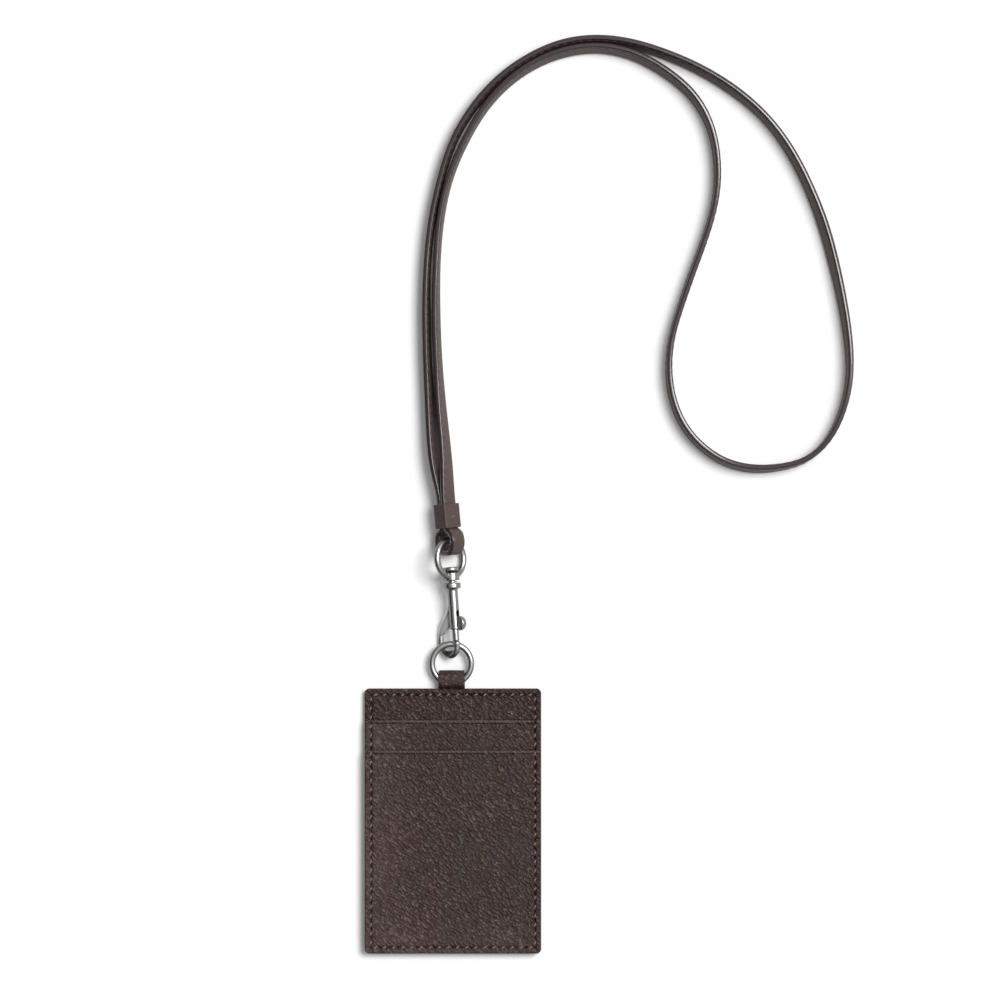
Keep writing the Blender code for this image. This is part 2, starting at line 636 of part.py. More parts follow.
def make_swivel(parts, cutters):
    """The wire eye with its boss, the rivet through it and the washer below it."""
    along = HOOK_FRAME @ Z_TO_Y
    ring_place = EYE_FRAME @ shift(0, EYE_CENTRE_A, 0) @ Z_TO_X
    eye = torus("swivel_eye", EYE_RADIUS, EYE_WIRE, EYE_STEPS, ring_place, PLATED_METAL, parts)
    boss_profile = [
        (0.0, BOSS_TOP_A), (BOSS_RADIUS - BOSS_CHAMFER, BOSS_TOP_A),
        (BOSS_RADIUS, BOSS_TOP_A - BOSS_CHAMFER), (BOSS_RADIUS, BOSS_BOTTOM_A + BOSS_CHAMFER),
        (BOSS_RADIUS - BOSS_CHAMFER, BOSS_BOTTOM_A), (0.0, BOSS_BOTTOM_A),
    ]
    boss = turned("boss_shape", boss_profile, along, PLATED_METAL, cutters)
    bore = cylinder("boss_bore_cutter", POST_RADIUS + GAP, BOSS_BOTTOM_A - 1, BOSS_TOP_A + 0.6,
                    along, PLATED_METAL, cutters)
    combine(eye, boss, "UNION")
    combine(eye, bore, "DIFFERENCE")
    turned("swivel_rivet", RIVET_PROFILE, along, PLATED_METAL, parts)
    low, high = WASHER_LAYER
    inner = POST_RADIUS + GAP
    washer = [(WASHER_RADIUS, high), (WASHER_RADIUS, low), (inner, low), (inner, high)]
    turned("swivel_washer", washer, along, PLATED_METAL, parts, closed=True)


def make_lanyard(parts):
    """The folded end loop, the keeper with its bar tack, and the long neck strap."""
    half = [(m, k) for m, k in LOOP_HALF]
    front = [(STRAND_OFFSET, LOOP_END_K)] + half
    back = [(-m, k) for m, k in reversed(front)]
    loop = [(m, k, 0.0) for m, k in front + [(0.0, LOOP_BOTTOM_K)] + back]
    flat_strap("strap_end_loop", loop, [0.0] * len(loop), KEEPER_FRAME, STRAP_LEATHER, parts)
    wide = KEEPER_ACROSS_WIDTH / 2
    deep = KEEPER_ACROSS_STACK / 2
    outer = rounded_rectangle(-wide, wide, -deep, deep, KEEPER_CORNER)
    inner = rounded_rectangle(-wide + KEEPER_WALL, wide - KEEPER_WALL, -deep + KEEPER_WALL,
                              deep - KEEPER_WALL, KEEPER_CORNER - KEEPER_WALL)
    outline_solid("keeper", [outer, inner], KEEPER_HALF_LENGTH, 0.15, KEEPER_FRAME @ OUTLINE_ZX,
                  STRAP_LEATHER, parts)
    tack = []
    for step in range(2 * TACK_TURNS):
        across = (step / 2 - (TACK_TURNS - 0.5) / 2) * TACK_PITCH
        along = TACK_CENTRE_K + TACK_HEIGHT * (step % 2 - 0.5)
        tack.append((deep + GAP + THREAD_RADIUS, along, across))
    tube("keeper_bar_tack", tack, THREAD_RADIUS * 0.8, 0, KEEPER_FRAME, THREAD, parts)
    points, leans = strap_line()
    strap = flat_strap("neck_strap", points, leans, Matrix.Identity(4), STRAP_LEATHER, parts)
    length = np.linalg.norm(np.diff(points, axis=0), axis=1).sum()
    print(f"neck strap {length:.1f} mm on {len(points)} points, lowest centre {points[:, 2].min():.2f}")
    return strap


def pivot(name, place, children, collection, parent=None):
    """An empty on a joint's axis, which carries the pieces that move with it."""
    empty = bpy.data.objects.new(name, None)
    collection.objects.link(empty)
    empty.matrix_world = place
    bpy.context.view_layer.update()
    hang_on(parent, [empty])
    hang_on(empty, [bpy.data.objects[child] for child in children])
    return empty


def hang_on(parent, things):
    """Parent things without moving them."""
    if parent is None:
        return
    bpy.context.view_layer.update()
    for thing in things:
        world = thing.matrix_world.copy()
        thing.parent = parent
        thing.matrix_parent_inverse = parent.matrix_world.inverted()
        thing.matrix_world = world


def make_pivots(parts):
    """The chain of joints from the holder to the lanyard."""
    tilt = math.radians(RING_TILT_DEG)
    reach_y = RING_RADIUS * math.cos(tilt)
    reach_z = RING_RADIUS * math.sin(tilt)
    x, y, z = RING_CENTRE
    ring = pivot("ring_swing_pivot", shift(x, y - reach_y, z - reach_z), ["tab_ring"], parts)
    hook = pivot("hook_swing_pivot", shift(x, y + reach_y, z + reach_z),
                 ["hook_body", "swivel_rivet", "swivel_washer", "bolt_spring"], parts, ring)
    pivot("bolt_slide_axis", HOOK_FRAME, ["bolt", "thumb_stud"], parts, hook)
    eye = pivot("eye_swivel_axis", EYE_FRAME, ["swivel_eye"], parts, hook)
    top = EYE_FRAME @ shift(0, EYE_CENTRE_A + EYE_RADIUS, 0)
    pivot("lanyard_swing_pivot", top, ["strap_end_loop", "keeper", "keeper_bar_tack", "neck_strap"],
          parts, eye)
    for name, place in (("hook swing", hook.matrix_world), ("lanyard swing", top)):
        print(name, "at", [round(value, 5) for value in place.translation])
    print("eye wire axis", [round(value, 4) for value in top.to_3x3().col[2]])
    print("barrel axis", [round(value, 4) for value in HOOK_FRAME.to_3x3().col[1]])


def main():
    """Build every piece."""
    parts, cutters = clear_scene()
    make_holder(parts, cutters)
    make_stitching(parts)
    make_tab_and_ring(parts)
    make_hook(parts, cutters)
    make_bolt(parts, cutters)
    make_swivel(parts, cutters)
    make_lanyard(parts)
    make_pivots(parts)


main()
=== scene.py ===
"""Dresses the lanyard card holder: leather, thread, plated metal, and a plain pale studio."""

import math

import bmesh
import bpy
import numpy as np
from mathutils import Matrix, Vector


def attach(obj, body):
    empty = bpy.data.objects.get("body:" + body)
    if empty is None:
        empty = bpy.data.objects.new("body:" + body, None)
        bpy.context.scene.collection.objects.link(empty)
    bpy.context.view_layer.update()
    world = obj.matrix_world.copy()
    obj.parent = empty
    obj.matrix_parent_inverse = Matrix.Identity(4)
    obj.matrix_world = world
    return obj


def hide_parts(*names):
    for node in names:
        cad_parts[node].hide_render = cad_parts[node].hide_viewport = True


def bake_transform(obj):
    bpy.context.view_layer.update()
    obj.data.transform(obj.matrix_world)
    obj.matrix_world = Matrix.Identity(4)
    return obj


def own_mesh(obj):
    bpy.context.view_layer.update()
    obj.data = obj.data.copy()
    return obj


bl_info = {
    "name": "Lanyard card holder",
    "version": (1, 0, 0),
    "blender": (4, 5, 0),
    "location": "View3D > Sidebar > Card holder",
    "description": "Builds the leather card holder, its snap hook and its neck strap piece by piece",
    "category": "Add Mesh",
}

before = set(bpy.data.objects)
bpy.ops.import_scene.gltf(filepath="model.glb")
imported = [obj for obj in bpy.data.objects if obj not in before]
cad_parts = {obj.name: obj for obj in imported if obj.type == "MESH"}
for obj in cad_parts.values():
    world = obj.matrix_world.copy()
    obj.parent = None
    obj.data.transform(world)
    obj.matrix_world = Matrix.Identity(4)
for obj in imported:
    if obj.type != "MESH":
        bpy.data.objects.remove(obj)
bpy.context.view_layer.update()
MM = 0.001

# Frames shared with the solids: metres, degrees
HOOK_ORIGIN = (0.00015, 0.090, 0.0068)
HOOK_TURN = 4.05
HOOK_LEAN = 42.0
SWIVEL_LEAN = 45.0
KEEPER_CENTRE = (-0.00229, 0.1243, 0.0065)
KEEPER_TURN = 5.2
KEEPER_HALF = (0.00415, 0.0030, 0.0049)
KEEPER_CORNER = 0.0004
KEEPER_HALF_WALL = 0.00035
KEEPER_PINCH = 0.00005
KEEPER_STEPS = 128
KEEPER_FACE = 0.8
TACK_COUNT = 4
TACK_PITCH = 0.00055
TACK_LEVEL = 0.00335
TACK_SHIFT = -0.0003
TACK_SLANT = 48.0
TACK_THREAD = (0.0009, 0.00034, 0.00026)
RING_CENTRE = (-0.00053, 0.0641, 0.00354)
RING_TILT = 3.9

# Strap
STRAND_OFFSET = 0.00125
STRAP_HIDDEN_START = 0.0042
STRAP_STRAIGHT_END = 0.0072
RISE_LENGTH = 0.055
REST_CLEARANCE = 0.0001
STRAP_ROUTE = [
    (-0.0066, 0.1430, -34), (-0.0089, 0.1630, -26), (-0.0103, 0.1870, -17), (-0.0108, 0.2060, -15),
    (-0.0105, 0.2250, -10), (-0.0084, 0.2450, -11), (-0.0049, 0.2615, -10), (0.0, 0.2763, -11),
    (0.0082, 0.2904, -13), (0.0188, 0.3020, -17), (0.0320, 0.3112, -19), (0.0450, 0.3165, -21),
    (0.0580, 0.3182, -22), (0.0710, 0.3170, -21), (0.0865, 0.3125, -20), (0.1013, 0.3059, -22),
    (0.1152, 0.2972, -22), (0.1275, 0.2864, -18), (0.1373, 0.2733, -19), (0.1449, 0.2587, -20),
    (0.1508, 0.2435, -24), (0.1551, 0.2282, -23), (0.1585, 0.2129, -18), (0.1610, 0.1971, -14),
    (0.1616, 0.1812, -8), (0.1583, 0.1660, -6), (0.1496, 0.1516, 0), (0.1423, 0.1466, 5),
    (0.1341, 0.1443, 9), (0.1260, 0.1435, 13), (0.1180, 0.1442, 14), (0.1103, 0.1467, 13),
    (0.1034, 0.1510, 12), (0.0976, 0.1565, 12), (0.0931, 0.1631, 11), (0.0900, 0.1707, 10),
    (0.0881, 0.1825, 7), (0.0889, 0.1948, 4), (0.0931, 0.2104, 5), (0.0984, 0.2256, 6),
    (0.1039, 0.2411, 5), (0.1073, 0.2555, 6), (0.1076, 0.2695, 9), (0.1053, 0.2816, 12),
    (0.0978, 0.2954, 18), (0.0866, 0.3052, 22), (0.0730, 0.3124, 23), (0.0600, 0.3150, 22),
    (0.0490, 0.3142, 22), (0.0375, 0.3106, 20), (0.0254, 0.3034, 17), (0.0139, 0.2918, 13),
    (0.0053, 0.2778, 11), (-0.0012, 0.2624, 10), (-0.0049, 0.2463, 11), (-0.0066, 0.2260, 10),
    (-0.0069, 0.2080, 15), (-0.0062, 0.1880, 17), (-0.0046, 0.1660, 25), (-0.0028, 0.1460, 34),
]
LOOP_HALF = [
    (0.00125, 0.0040), (0.00125, -0.0046), (0.0015, -0.00555), (0.00215, -0.0062),
    (0.0030, -0.0067), (0.0038, -0.0075), (0.0043, -0.0086), (0.0045, -0.0099),
    (0.0044, -0.0115), (0.0040, -0.0128), (0.0032, -0.0139), (0.0018, -0.0147),
]
LOOP_BOTTOM = -0.01495
STRAP_GROOVE = 0.00010
STRAP_GROOVE_SPREAD = 0.00033
STRAP_HOLE = 0.00016
STRAP_PUFF = 0.00003
STRAP_PUFF_PLACE = 0.0006
STRAP_PUFF_SPREAD = 0.0005
STRAP_THREAD = (0.00048, 0.00024)
STRAP_THREAD_SUNK = 0.00004
STRAP_STITCH_SHARE = 0.70
SECTION_FACE_POINTS = 15
SECTION_EDGE_POINTS = 6
RINGS_PER_STITCH = 6

# Card holder layers, each reaching almost to the next
HOLDER_BOTTOM_Y = -0.0541
HOLDER_TOP_Y = 0.0539
REAR_TOP_Y = 0.0413
FRONT_TOP_Y = 0.0290
LAYER_Z = {
    "back_panel": (0.0, 0.00105),
    "front_base_panel": (0.00195, 0.0030),
    "rear_pocket_panel": (0.00315, 0.0041),
    "front_pocket_panel": (0.00425, 0.0052),
}
COARSE_STEP = (0.0007, 0.0025)
SEWN_MARGIN = (0.0052, 0.00034)
TOP_MARGIN = (0.0026, 0.00013)
SEEN_STEP = 0.00036
SEEN_BELOW_EDGE = 0.001
THREAD_CLEARS_EDGE = 0.0002
SIDE_STITCHES = 28
END_STITCHES = 18
STITCH_PITCH_MM = 3.65
END_SLANT = 34.0
SIDE_SLANT = 66.0
EDGE_THREAD = (0.0017, 0.00052, 0.00042)
FRONT_THREAD_SUNK = 0.00008
BACK_THREAD_LEVEL = 0.00019
HOLE_SLANT = 25.0
HOLE_DEPTH = 0.00034
HOLE_SPREAD = 0.00036
GROOVE_SPREAD = 0.0005
OUTER_GATHERS = 0.0012
INNER_GATHERS = 0.0039
GATHER_SPREAD = 0.0008
RELIEF_END = 0.0012
WANDER = 0.00005
NO_EDGE_MM = 20.0
# Fades of the grain share, which also carries the painted sheen and the band's painted highlight.
GRAIN_AND_SHEEN_FADE_LEFT = 0.022
GRAIN_AND_SHEEN_FADE_LOW = 0.016
# Painted light on the holder's leather: the rolled band's highlight tone and the sheen tone.
ROLLED_BAND_PAINTED_LIGHT_COLOUR = (0.098, 0.072, 0.068)
PAINTED_SHEEN_COLOUR = (0.072, 0.053, 0.050)
CAST_SKIN_PAINTED_LIGHT_COLOUR = (0.75, 0.75, 0.74)

# Turned edge of a pocket, in millimetres: height, distance from the edge, spread, power
ROLLED_BAND = (0.16, 0.75, 0.5, 4)
CREASE = (-0.24, 1.62, 0.17, 2)
RIDGE = (0.05, 2.25, 0.3, 2)

# Ring tab: its middle line in Y and Z, out of the seam, round the ring and back
TAB_LINE = [
    (0.0472, 0.00134), (0.0525, 0.00134), (0.0540, 0.00128), (0.0553, 0.00096),
    (0.0570, 0.00092), (0.0588, 0.00104), (0.0602, 0.0016), (0.06095, 0.0030),
    (0.0602, 0.0044), (0.0588, 0.00500), (0.0570, 0.00512), (0.0557, 0.0048),
    (0.0547, 0.0036), (0.0540, 0.00225), (0.0525, 0.00172), (0.0472, 0.00170),
]
TAB_STEP = 0.00025
TAB_HALF_WALL = 0.00044
TAB_PRESSED = 0.00029
TAB_PRESSED_PAST = (0.0556, 0.0022)
TAB_HALF_WIDTH = 0.0054
TAB_NARROWER = 0.0002
TAB_NARROWS_PAST = (0.056, 0.005)
TAB_CROWN = 0.12

# Turned parts of the snap hook in millimetres: radius, and place along the barrel
BARREL_PROFILE = [(0, 7.04), (3.5, 7.04), (3.5, 4.83), (2.1, 4.5), (2.1, -10.8), (2.35, -11.0),
                  (2.35, -11.87), (0, -11.87)]
BARREL_BORE = [(0, -3), (1.65, -3), (1.65, -13.5), (0, -13.5)]
CUP_PROFILE = [(0, -17.0), (1.3, -17.0), (1.3, -17.9), (1.1, -19.0), (0, -19.0)]
CUP_BORE = [(0, -16.8), (1.0, -16.8), (0.75, -17.25), (0, -17.35)]
BOLT_PROFILE = [(0, -6.5), (1.35, -6.5), (1.35, -16.4), (1.0, -16.75), (0, -16.75)]
STUD_NECK_PROFILE = [(0, 3.6), (0.65, 3.6), (0.65, 0.5), (0, 0.5)]
BOSS_PROFILE = [(0, 11.13), (3.2, 11.13), (3.2, 8.06), (0, 8.06)]
BOSS_BORE = [(0, 11.9), (1.45, 11.9), (1.45, 7.5), (0, 7.5)]
RIVET_PROFILE = [(0, 13.55), (2.7, 13.5), (3.2, 13.2), (3.2, 12.25), (2.95, 11.95),
                 (2.2, 11.5), (1.2, 11.46), (1.2, 5.6), (0, 5.6)]

# Snap hook, along the barrel (A) and towards the thumb stud (U)
ARM_RADIUS = 0.00115
ARM_ROUTE = [
    (-0.0009, -0.0009), (-0.0024, -0.0045), (-0.0052, -0.0082), (-0.0076, -0.0123),
    (-0.0083, -0.0160), (-0.00815, -0.0189), (-0.0063, -0.0215), (-0.0034, -0.0226),
    (-0.0012, -0.0218), (0.00015, -0.0198), (0.0004, -0.0174),
]
TIP = (0.0004, -0.0170)
WEB_OUTER = [
    (-0.0012, -0.0016), (-0.0024, -0.0045), (-0.0052, -0.0082), (-0.0076, -0.0123), (-0.0081, -0.0146),
]
WEB_INNER = [
    (-0.0004, -0.0024), (-0.0006, -0.0050), (-0.0010, -0.0084), (-0.0030, -0.0116), (-0.0070, -0.0140),
]
CLAW_OUTER = [
    (-0.0072, -0.0206), (-0.0061, -0.0216), (-0.0034, -0.0226), (-0.0012, -0.0218), (-0.0003, -0.0207),
]
CLAW_INNER = [
    (-0.0069, -0.0206), (-0.0053, -0.0206), (-0.0034, -0.0204), (-0.0016, -0.0204), (-0.0005, -0.0206),
]
ROUTE_STEP = 0.0003
PLATE_ROWS = 40
PLATE_POINTS = 32
PLATE_HALF_THICKNESS = 0.001
SKIN_STARTS_MM = 2.3
SKIN_ENDS_MM = 16.0
SKIN_FADES_MM = 3.0
SLOT_ENDS = (-0.00955, -0.00492)
SLOT_RADIUS = 0.00095
SLOT_LAYERS = (0.0005, 0.004)
SPRING_TURNS = 8
SPRING_ENDS = (-0.0060, 0.0031)
SPRING_COIL = 0.00115
SPRING_WIRE = 0.0002
STUD_PLACE = -0.00952
STUD_RADIUS = 0.0030
STUD_FOOT = 0.0026
STUD_HALF_THICKNESS = 0.0012
STUD_ROUNDING = 0.00045
STUD_MIDDLE = 0.42
EYE_PLACE = 0.01698
FUSE_VOXEL = 0.00011
FUSE_SMOOTHING = 6

SENSOR_WIDTH = 36.0
FAR_CLIP = 20.0
FLOOR_HALF = 3.0
FLOOR_GAP = 0.00002
UP = np.array([0.0, 0.0, 1.0])
CAP_RINGS = 6
SMALLEST_RING = 0.001


def frame_at(origin, turn_deg, lean_deg):
    """A frame whose Y is level and turned from +Y, and whose X leans up from level."""
    turn = math.radians(turn_deg)
    lean = math.radians(lean_deg)
    x_axis = Vector((math.cos(lean) * math.cos(turn), math.cos(lean) * math.sin(turn), math.sin(lean)))
    y_axis = Vector((-math.sin(turn), math.cos(turn), 0.0))
    rotation = Matrix((x_axis, y_axis, x_axis.cross(y_axis))).transposed().to_4x4()
    return Matrix.Translation(Vector(origin)) @ rotation


HOOK_FRAME = frame_at(HOOK_ORIGIN, HOOK_TURN, HOOK_LEAN)
BARREL_FRAME = HOOK_FRAME @ Matrix.Rotation(math.radians(-90), 4, "X")
QUARTER_TURN_Y = Matrix.Rotation(math.radians(90), 4, "Y")
EYE_FRAME = frame_at(HOOK_ORIGIN, HOOK_TURN, SWIVEL_LEAN)
KEEPER_FRAME = frame_at(KEEPER_CENTRE, KEEPER_TURN, SWIVEL_LEAN)


# Surfaces worked out with numpy

def placed(points, matrix):
    """Points of any grid carried by a 4x4 matrix."""
    turn = np.array(matrix.to_3x3())
    return points @ turn.T + np.array(matrix.translation)


def grid_faces(rows, columns, close_rows=False, close_columns=False, start=0):
    """Quads between neighbours of a rows by columns grid, turned to face outwards."""
    row = np.arange(rows if close_rows else rows - 1)
    column = np.arange(columns if close_columns else columns - 1)
    row, column = np.meshgrid(row, column, indexing="ij")
    below = (row + 1) % rows
    beside = (column + 1) % columns
    quads = [row * columns + column, below * columns + column,
             below * columns + beside, row * columns + beside]
    return np.stack(quads, axis=-1).reshape(-1, 4) + start


def tube_faces(rows, columns):
    """Faces of a closed tube: the quads between its rings, and one flat face at each end."""
    faces = grid_faces(rows, columns, close_columns=True).tolist()
    last = (rows - 1) * columns
    return faces + [list(range(columns))[::-1], list(range(last, last + columns))]


def full_turn(steps):
    """Angles of a full turn, its last step left out."""
    return np.arange(steps) * 2 * np.pi / steps


def softened(values, power):
    """A sine or cosine raised to a power with its sign kept, as in a superellipse."""
    return np.sign(values) * np.abs(values) ** power


def unit_rows(rows):
    """Rows scaled to length 1."""
    return rows / np.linalg.norm(rows, axis=1)[:, None]


def reach_along(rows):
    """Distance along a line at each of its rows."""
    return np.concatenate([[0.0], np.cumsum(np.linalg.norm(np.diff(rows, axis=0), axis=1))])


def make_piece(name, points, faces, values=None):
    """An object from points and faces, its normals made to point outwards."""
    mesh = bpy.data.meshes.new(name)
    mesh.from_pydata(np.asarray(points).reshape(-1, 3), [], faces)
    for key, value in (values or {}).items():
        layer = mesh.attributes.new(key, "FLOAT", "POINT")
        layer.data.foreach_set("value", np.asarray(value, np.float32).ravel())
    work = bmesh.new()
    work.from_mesh(mesh)
    bmesh.ops.recalc_face_normals(work, faces=work.faces)
    if work.calc_volume(signed=True) < 0:
        bmesh.ops.reverse_faces(work, faces=work.faces)
    work.to_mesh(mesh)
    work.free()
    mesh.polygons.foreach_set("use_smooth", np.full(len(mesh.polygons), True))
    piece = bpy.data.objects.new(name, mesh)
    bpy.context.scene.collection.objects.link(piece)
    return piece


def dress_node(name, material):
    """Give one of the solids itself a material."""
    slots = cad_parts[name].data.materials
    slots.clear()
    slots.append(material)


def finish_piece(piece, material, slot, body, *nodes):
    """Give a piece its material, let it ride, and hide the solids that it stands for; slot is not used."""
    piece.data.materials.append(material)
    if body:
        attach(piece, body)
    if nodes:
        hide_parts(*nodes)
    return piece


def cubic_through(points, step):
    """Rows on a natural cubic spline through the given rows, step apart along x and y (and z)."""
    rows = np.asarray(points, float)
    place = rows[:, :3] if rows.shape[1] == 4 else rows[:, :2]
    knots = reach_along(place)
    gaps = np.diff(knots)
    count = len(rows)
    inner = np.arange(1, count - 1)
    system = np.eye(count)
    system[inner, inner - 1] = gaps[:-1]
    system[inner, inner] = 2 * (gaps[:-1] + gaps[1:])
    system[inner, inner + 1] = gaps[1:]
    slopes = np.diff(rows, axis=0) / gaps[:, None]
    target = np.zeros_like(rows)
    target[1:-1] = 6 * np.diff(slopes, axis=0)
    bend = np.linalg.solve(system, target)
    along = np.linspace(0.0, knots[-1], 12000)
    at = np.clip(np.searchsorted(knots, along, side="right") - 1, 0, count - 2)
    width = gaps[at][:, None]
    left = (along - knots[at])[:, None]
    right = width - left
    dense = (bend[at] * right ** 3 + bend[at + 1] * left ** 3) / (6 * width)
    dense += (rows[at] / width - bend[at] * width / 6) * right
    dense += (rows[at + 1] / width - bend[at + 1] * width / 6) * left
    reach = reach_along(dense[:, :place.shape[1]])
    places = np.linspace(0.0, reach[-1], int(round(reach[-1] / step)) + 1)
    return rows_at(places, reach, dense), places


def revolve(profile, matrix, steps=48):
    """Points and faces of a profile of (radius, height) turned about Z: (r cos t, r sin t, h).

    The profile's first and last points lie on the axis, so they are single poles.
    """
    profile = np.asarray(profile, float)
    angle = full_turn(steps)
    body = profile[1:-1]
    ring = np.stack([np.cos(angle), np.sin(angle)], axis=-1)
    points = np.concatenate([
        body[:, None, :1] * ring[None, :, :],
        np.broadcast_to(body[:, None, 1:], (len(body), steps, 1)),
    ], axis=-1).reshape(-1, 3)
    poles = np.array([[0.0, 0.0, profile[0, 1]], [0.0, 0.0, profile[-1, 1]]])
    faces = grid_faces(len(body), steps, close_columns=True).tolist()
    step = np.arange(steps)
    after = np.roll(step, -1)
    low = (len(body) - 1) * steps
    first = np.full(steps, len(points))
    faces += np.column_stack([first, step, after]).tolist()
    faces += np.column_stack([first + 1, low + after, low + step]).tolist()
    return placed(np.vstack([points, poles]), matrix), faces


def rounded_profile(corners, radius, steps=5):
    """A profile whose inner corners are rounded: each corner becomes a short quadratic arc."""
    corners = np.asarray(corners, float)
    points = [corners[0]]
    for before, corner, after in zip(corners, corners[1:], corners[2:]):
        back = before - corner
        ahead = after - corner
        reach = min(radius, np.linalg.norm(back) * 0.45, np.linalg.norm(ahead) * 0.45)
        start = corner + back / np.linalg.norm(back) * reach
        end = corner + ahead / np.linalg.norm(ahead) * reach
        t = np.linspace(0, 1, steps)[:, None]
        points.extend((1 - t) ** 2 * start + 2 * t * (1 - t) * corner + t ** 2 * end)
    points.append(corners[-1])
    return np.array(points)


def torus_points(radius, wire, steps, around, matrix):
    """A ring of wire about Z: ((R + r cos v) cos u, (R + r cos v) sin u, r sin v)."""
    u = full_turn(steps)[:, None]
    v = full_turn(around)[None, :]
    reach = radius + wire * np.cos(v)
    points = np.stack([reach * np.cos(u), reach * np.sin(u),
                       np.broadcast_to(wire * np.sin(v), (steps, around))], axis=-1)
    return placed(points.reshape(-1, 3), matrix), grid_faces(steps, around, True, True).tolist()


def sweep_round(path, radius, matrix, around=24):
    """A round tube along a path in the frame's XY plane, its ends closed by half spheres."""
    path = np.asarray(path, float)
    ahead = unit_rows(np.gradient(path, axis=0))
    cap = np.linspace(0, np.pi / 2, CAP_RINGS + 1)
    start = path[0] - ahead[0] * radius * np.cos(cap[:-1])[:, None]
    end = path[-1] + ahead[-1] * radius * np.sin(cap[1:])[:, None]
    line = np.vstack([start, path, end])
    heading = np.vstack([np.repeat(ahead[:1], CAP_RINGS, 0), ahead, np.repeat(ahead[-1:], CAP_RINGS, 0)])
    reach = np.concatenate([np.sin(cap[:-1]), np.ones(len(path)), np.cos(cap[1:])])
    reach = np.maximum(reach, SMALLEST_RING) * radius
    side = np.stack([heading[:, 1], -heading[:, 0], np.zeros(len(line))], axis=-1)
    angle = full_turn(around)[None, :, None]
    ring = np.cos(angle) * side[:, None, :] + np.sin(angle) * UP
    points = line[:, None, :] + ring * reach[:, None, None]
    return placed(points.reshape(-1, 3), matrix), tube_faces(len(line), around)


def rounded_slab(outline, centre, half_thickness, rounding, matrix, steps=7):
    """A slab over a convex outline in the frame's XY plane, with rounded rims.

    With t from -90 to 90 degrees the rim is drawn in by rounding (1 - cos t) and lies at
    half thickness sin t; the outline is drawn in towards the centre.
    """
    outline = np.asarray(outline, float)
    centre = np.asarray(centre, float)
    t = np.linspace(-np.pi / 2, np.pi / 2, steps)
    from_centre = outline - centre
    reach = np.linalg.norm(from_centre, axis=1)
    drawn_in = 1 - rounding * (1 - np.cos(t))[:, None] / reach[None, :]
    height = softened(np.sin(t), 0.8) * half_thickness
    rim = np.empty((steps, len(outline), 3))
    rim[..., :2] = centre + from_centre[None, :, :] * drawn_in[..., None]
    rim[..., 2] = height[:, None]
    return placed(rim.reshape(-1, 3), matrix), tube_faces(steps, len(outline))


def join_shapes(shapes):
    """Several (points, faces) shapes as one list of points and faces."""
    points = []
    faces = []
    start = 0
    for some, quads in shapes:
        points.append(np.asarray(some).reshape(-1, 3))
        faces.extend([[index + start for index in quad] for quad in quads])
        start += len(points[-1])
    return np.vstack(points), faces


def fuse(name, shapes, cuts):
    """Overlapping closed shapes cast into one skin with small fillets, then cut."""
    points, faces = join_shapes(shapes)
    piece = make_piece(name, points, faces)
    mesh = piece.data
    bpy.context.view_layer.objects.active = piece
    remesh = piece.modifiers.new("cast", "REMESH")
    remesh.mode = "VOXEL"
    remesh.voxel_size = FUSE_VOXEL
    remesh.use_smooth_shade = True
    relax = piece.modifiers.new("fillet", "SMOOTH")
    relax.factor = 0.5
    relax.iterations = FUSE_SMOOTHING
    cutters = []
    for number, (some, quads) in enumerate(cuts):
        cutter = make_piece(f"{name}_cut_{number}", some, quads)
        step = piece.modifiers.new(f"cut_{number}", "BOOLEAN")
        step.operation = "DIFFERENCE"
        step.solver = "EXACT"
        step.object = cutter
        cutters.append(cutter)
    graph = bpy.context.evaluated_depsgraph_get()
    piece.data = bpy.data.meshes.new_from_object(piece.evaluated_get(graph))
    piece.data.name = name
    piece.modifiers.clear()
    bpy.data.meshes.remove(mesh)
    for cutter in cutters:
        bpy.data.objects.remove(cutter)
    piece.data.polygons.foreach_set("use_smooth", np.full(len(piece.data.polygons), True))
    piece.data.set_sharp_from_angle(angle=math.radians(40))
    return piece


def capsule_group(centres, along, across, up, length, width, height, rows=7, around=6):
    """Many stitches at once: each is an ellipse carried along a shallow arch.

    At x from -1 to 1 the half section is sqrt(1 - x^4) of its full size, and the middle line
    drops by 0.9 x^4 of the height, because the thread goes into its holes at the ends.
    """
    x = np.linspace(-1, 1, rows + 2)[1:-1]
    size = np.sqrt(1 - x ** 4)
    drop = -x ** 4 * height * 0.9
    angle = full_turn(around)
    local_a = np.broadcast_to((x * length / 2)[:, None], (rows, around))
    local_b = size[:, None] * np.cos(angle)[None, :] * width / 2
    local_c = size[:, None] * np.sin(angle)[None, :] * height / 2 + drop[:, None]
    points = (centres[:, None, None, :]
              + local_a[None, :, :, None] * along[:, None, None, :]
              + local_b[None, :, :, None] * across[:, None, None, :]
              + local_c[None, :, :, None] * up[:, None, None, :])
    shifts = (np.arange(len(centres)) * rows * around)[:, None, None]
    side = grid_faces(rows, around, close_columns=True)
    ends = np.array(tube_faces(rows, around)[-2:])
    faces = (side + shifts).reshape(-1, 4).tolist() + (ends + shifts).reshape(-1, around).tolist()
    return points.reshape(-1, 3), faces


# Materials

def add(tree, kind, inputs=None, **settings):
    """A node of a material with its settings and the values of its inputs."""
    made = tree.nodes.new(kind)
    for key, value in settings.items():
        setattr(made, key, value)
    for key, value in (inputs or {}).items():
        made.inputs[key].default_value = value
    return made


def link(tree, source, output, target, entry):
    """Join an output to an input."""
    tree.links.new(source.outputs[output], target.inputs[entry])


def texture(tree, source, kind="Noise", inputs=None, **settings):
    """A noise, wave or cell texture that reads the given (node, output) coordinates."""
    made = add(tree, "ShaderNodeTex" + kind, inputs, **settings)
    link(tree, source[0], source[1], made, "Vector")
    return made


def mapped(tree, source, inputs, **settings):
    """A (node, output) value carried from one range to another."""
    made = add(tree, "ShaderNodeMapRange", inputs, **settings)
    link(tree, source[0], source[1], made, "Value")
    return made, "Result"


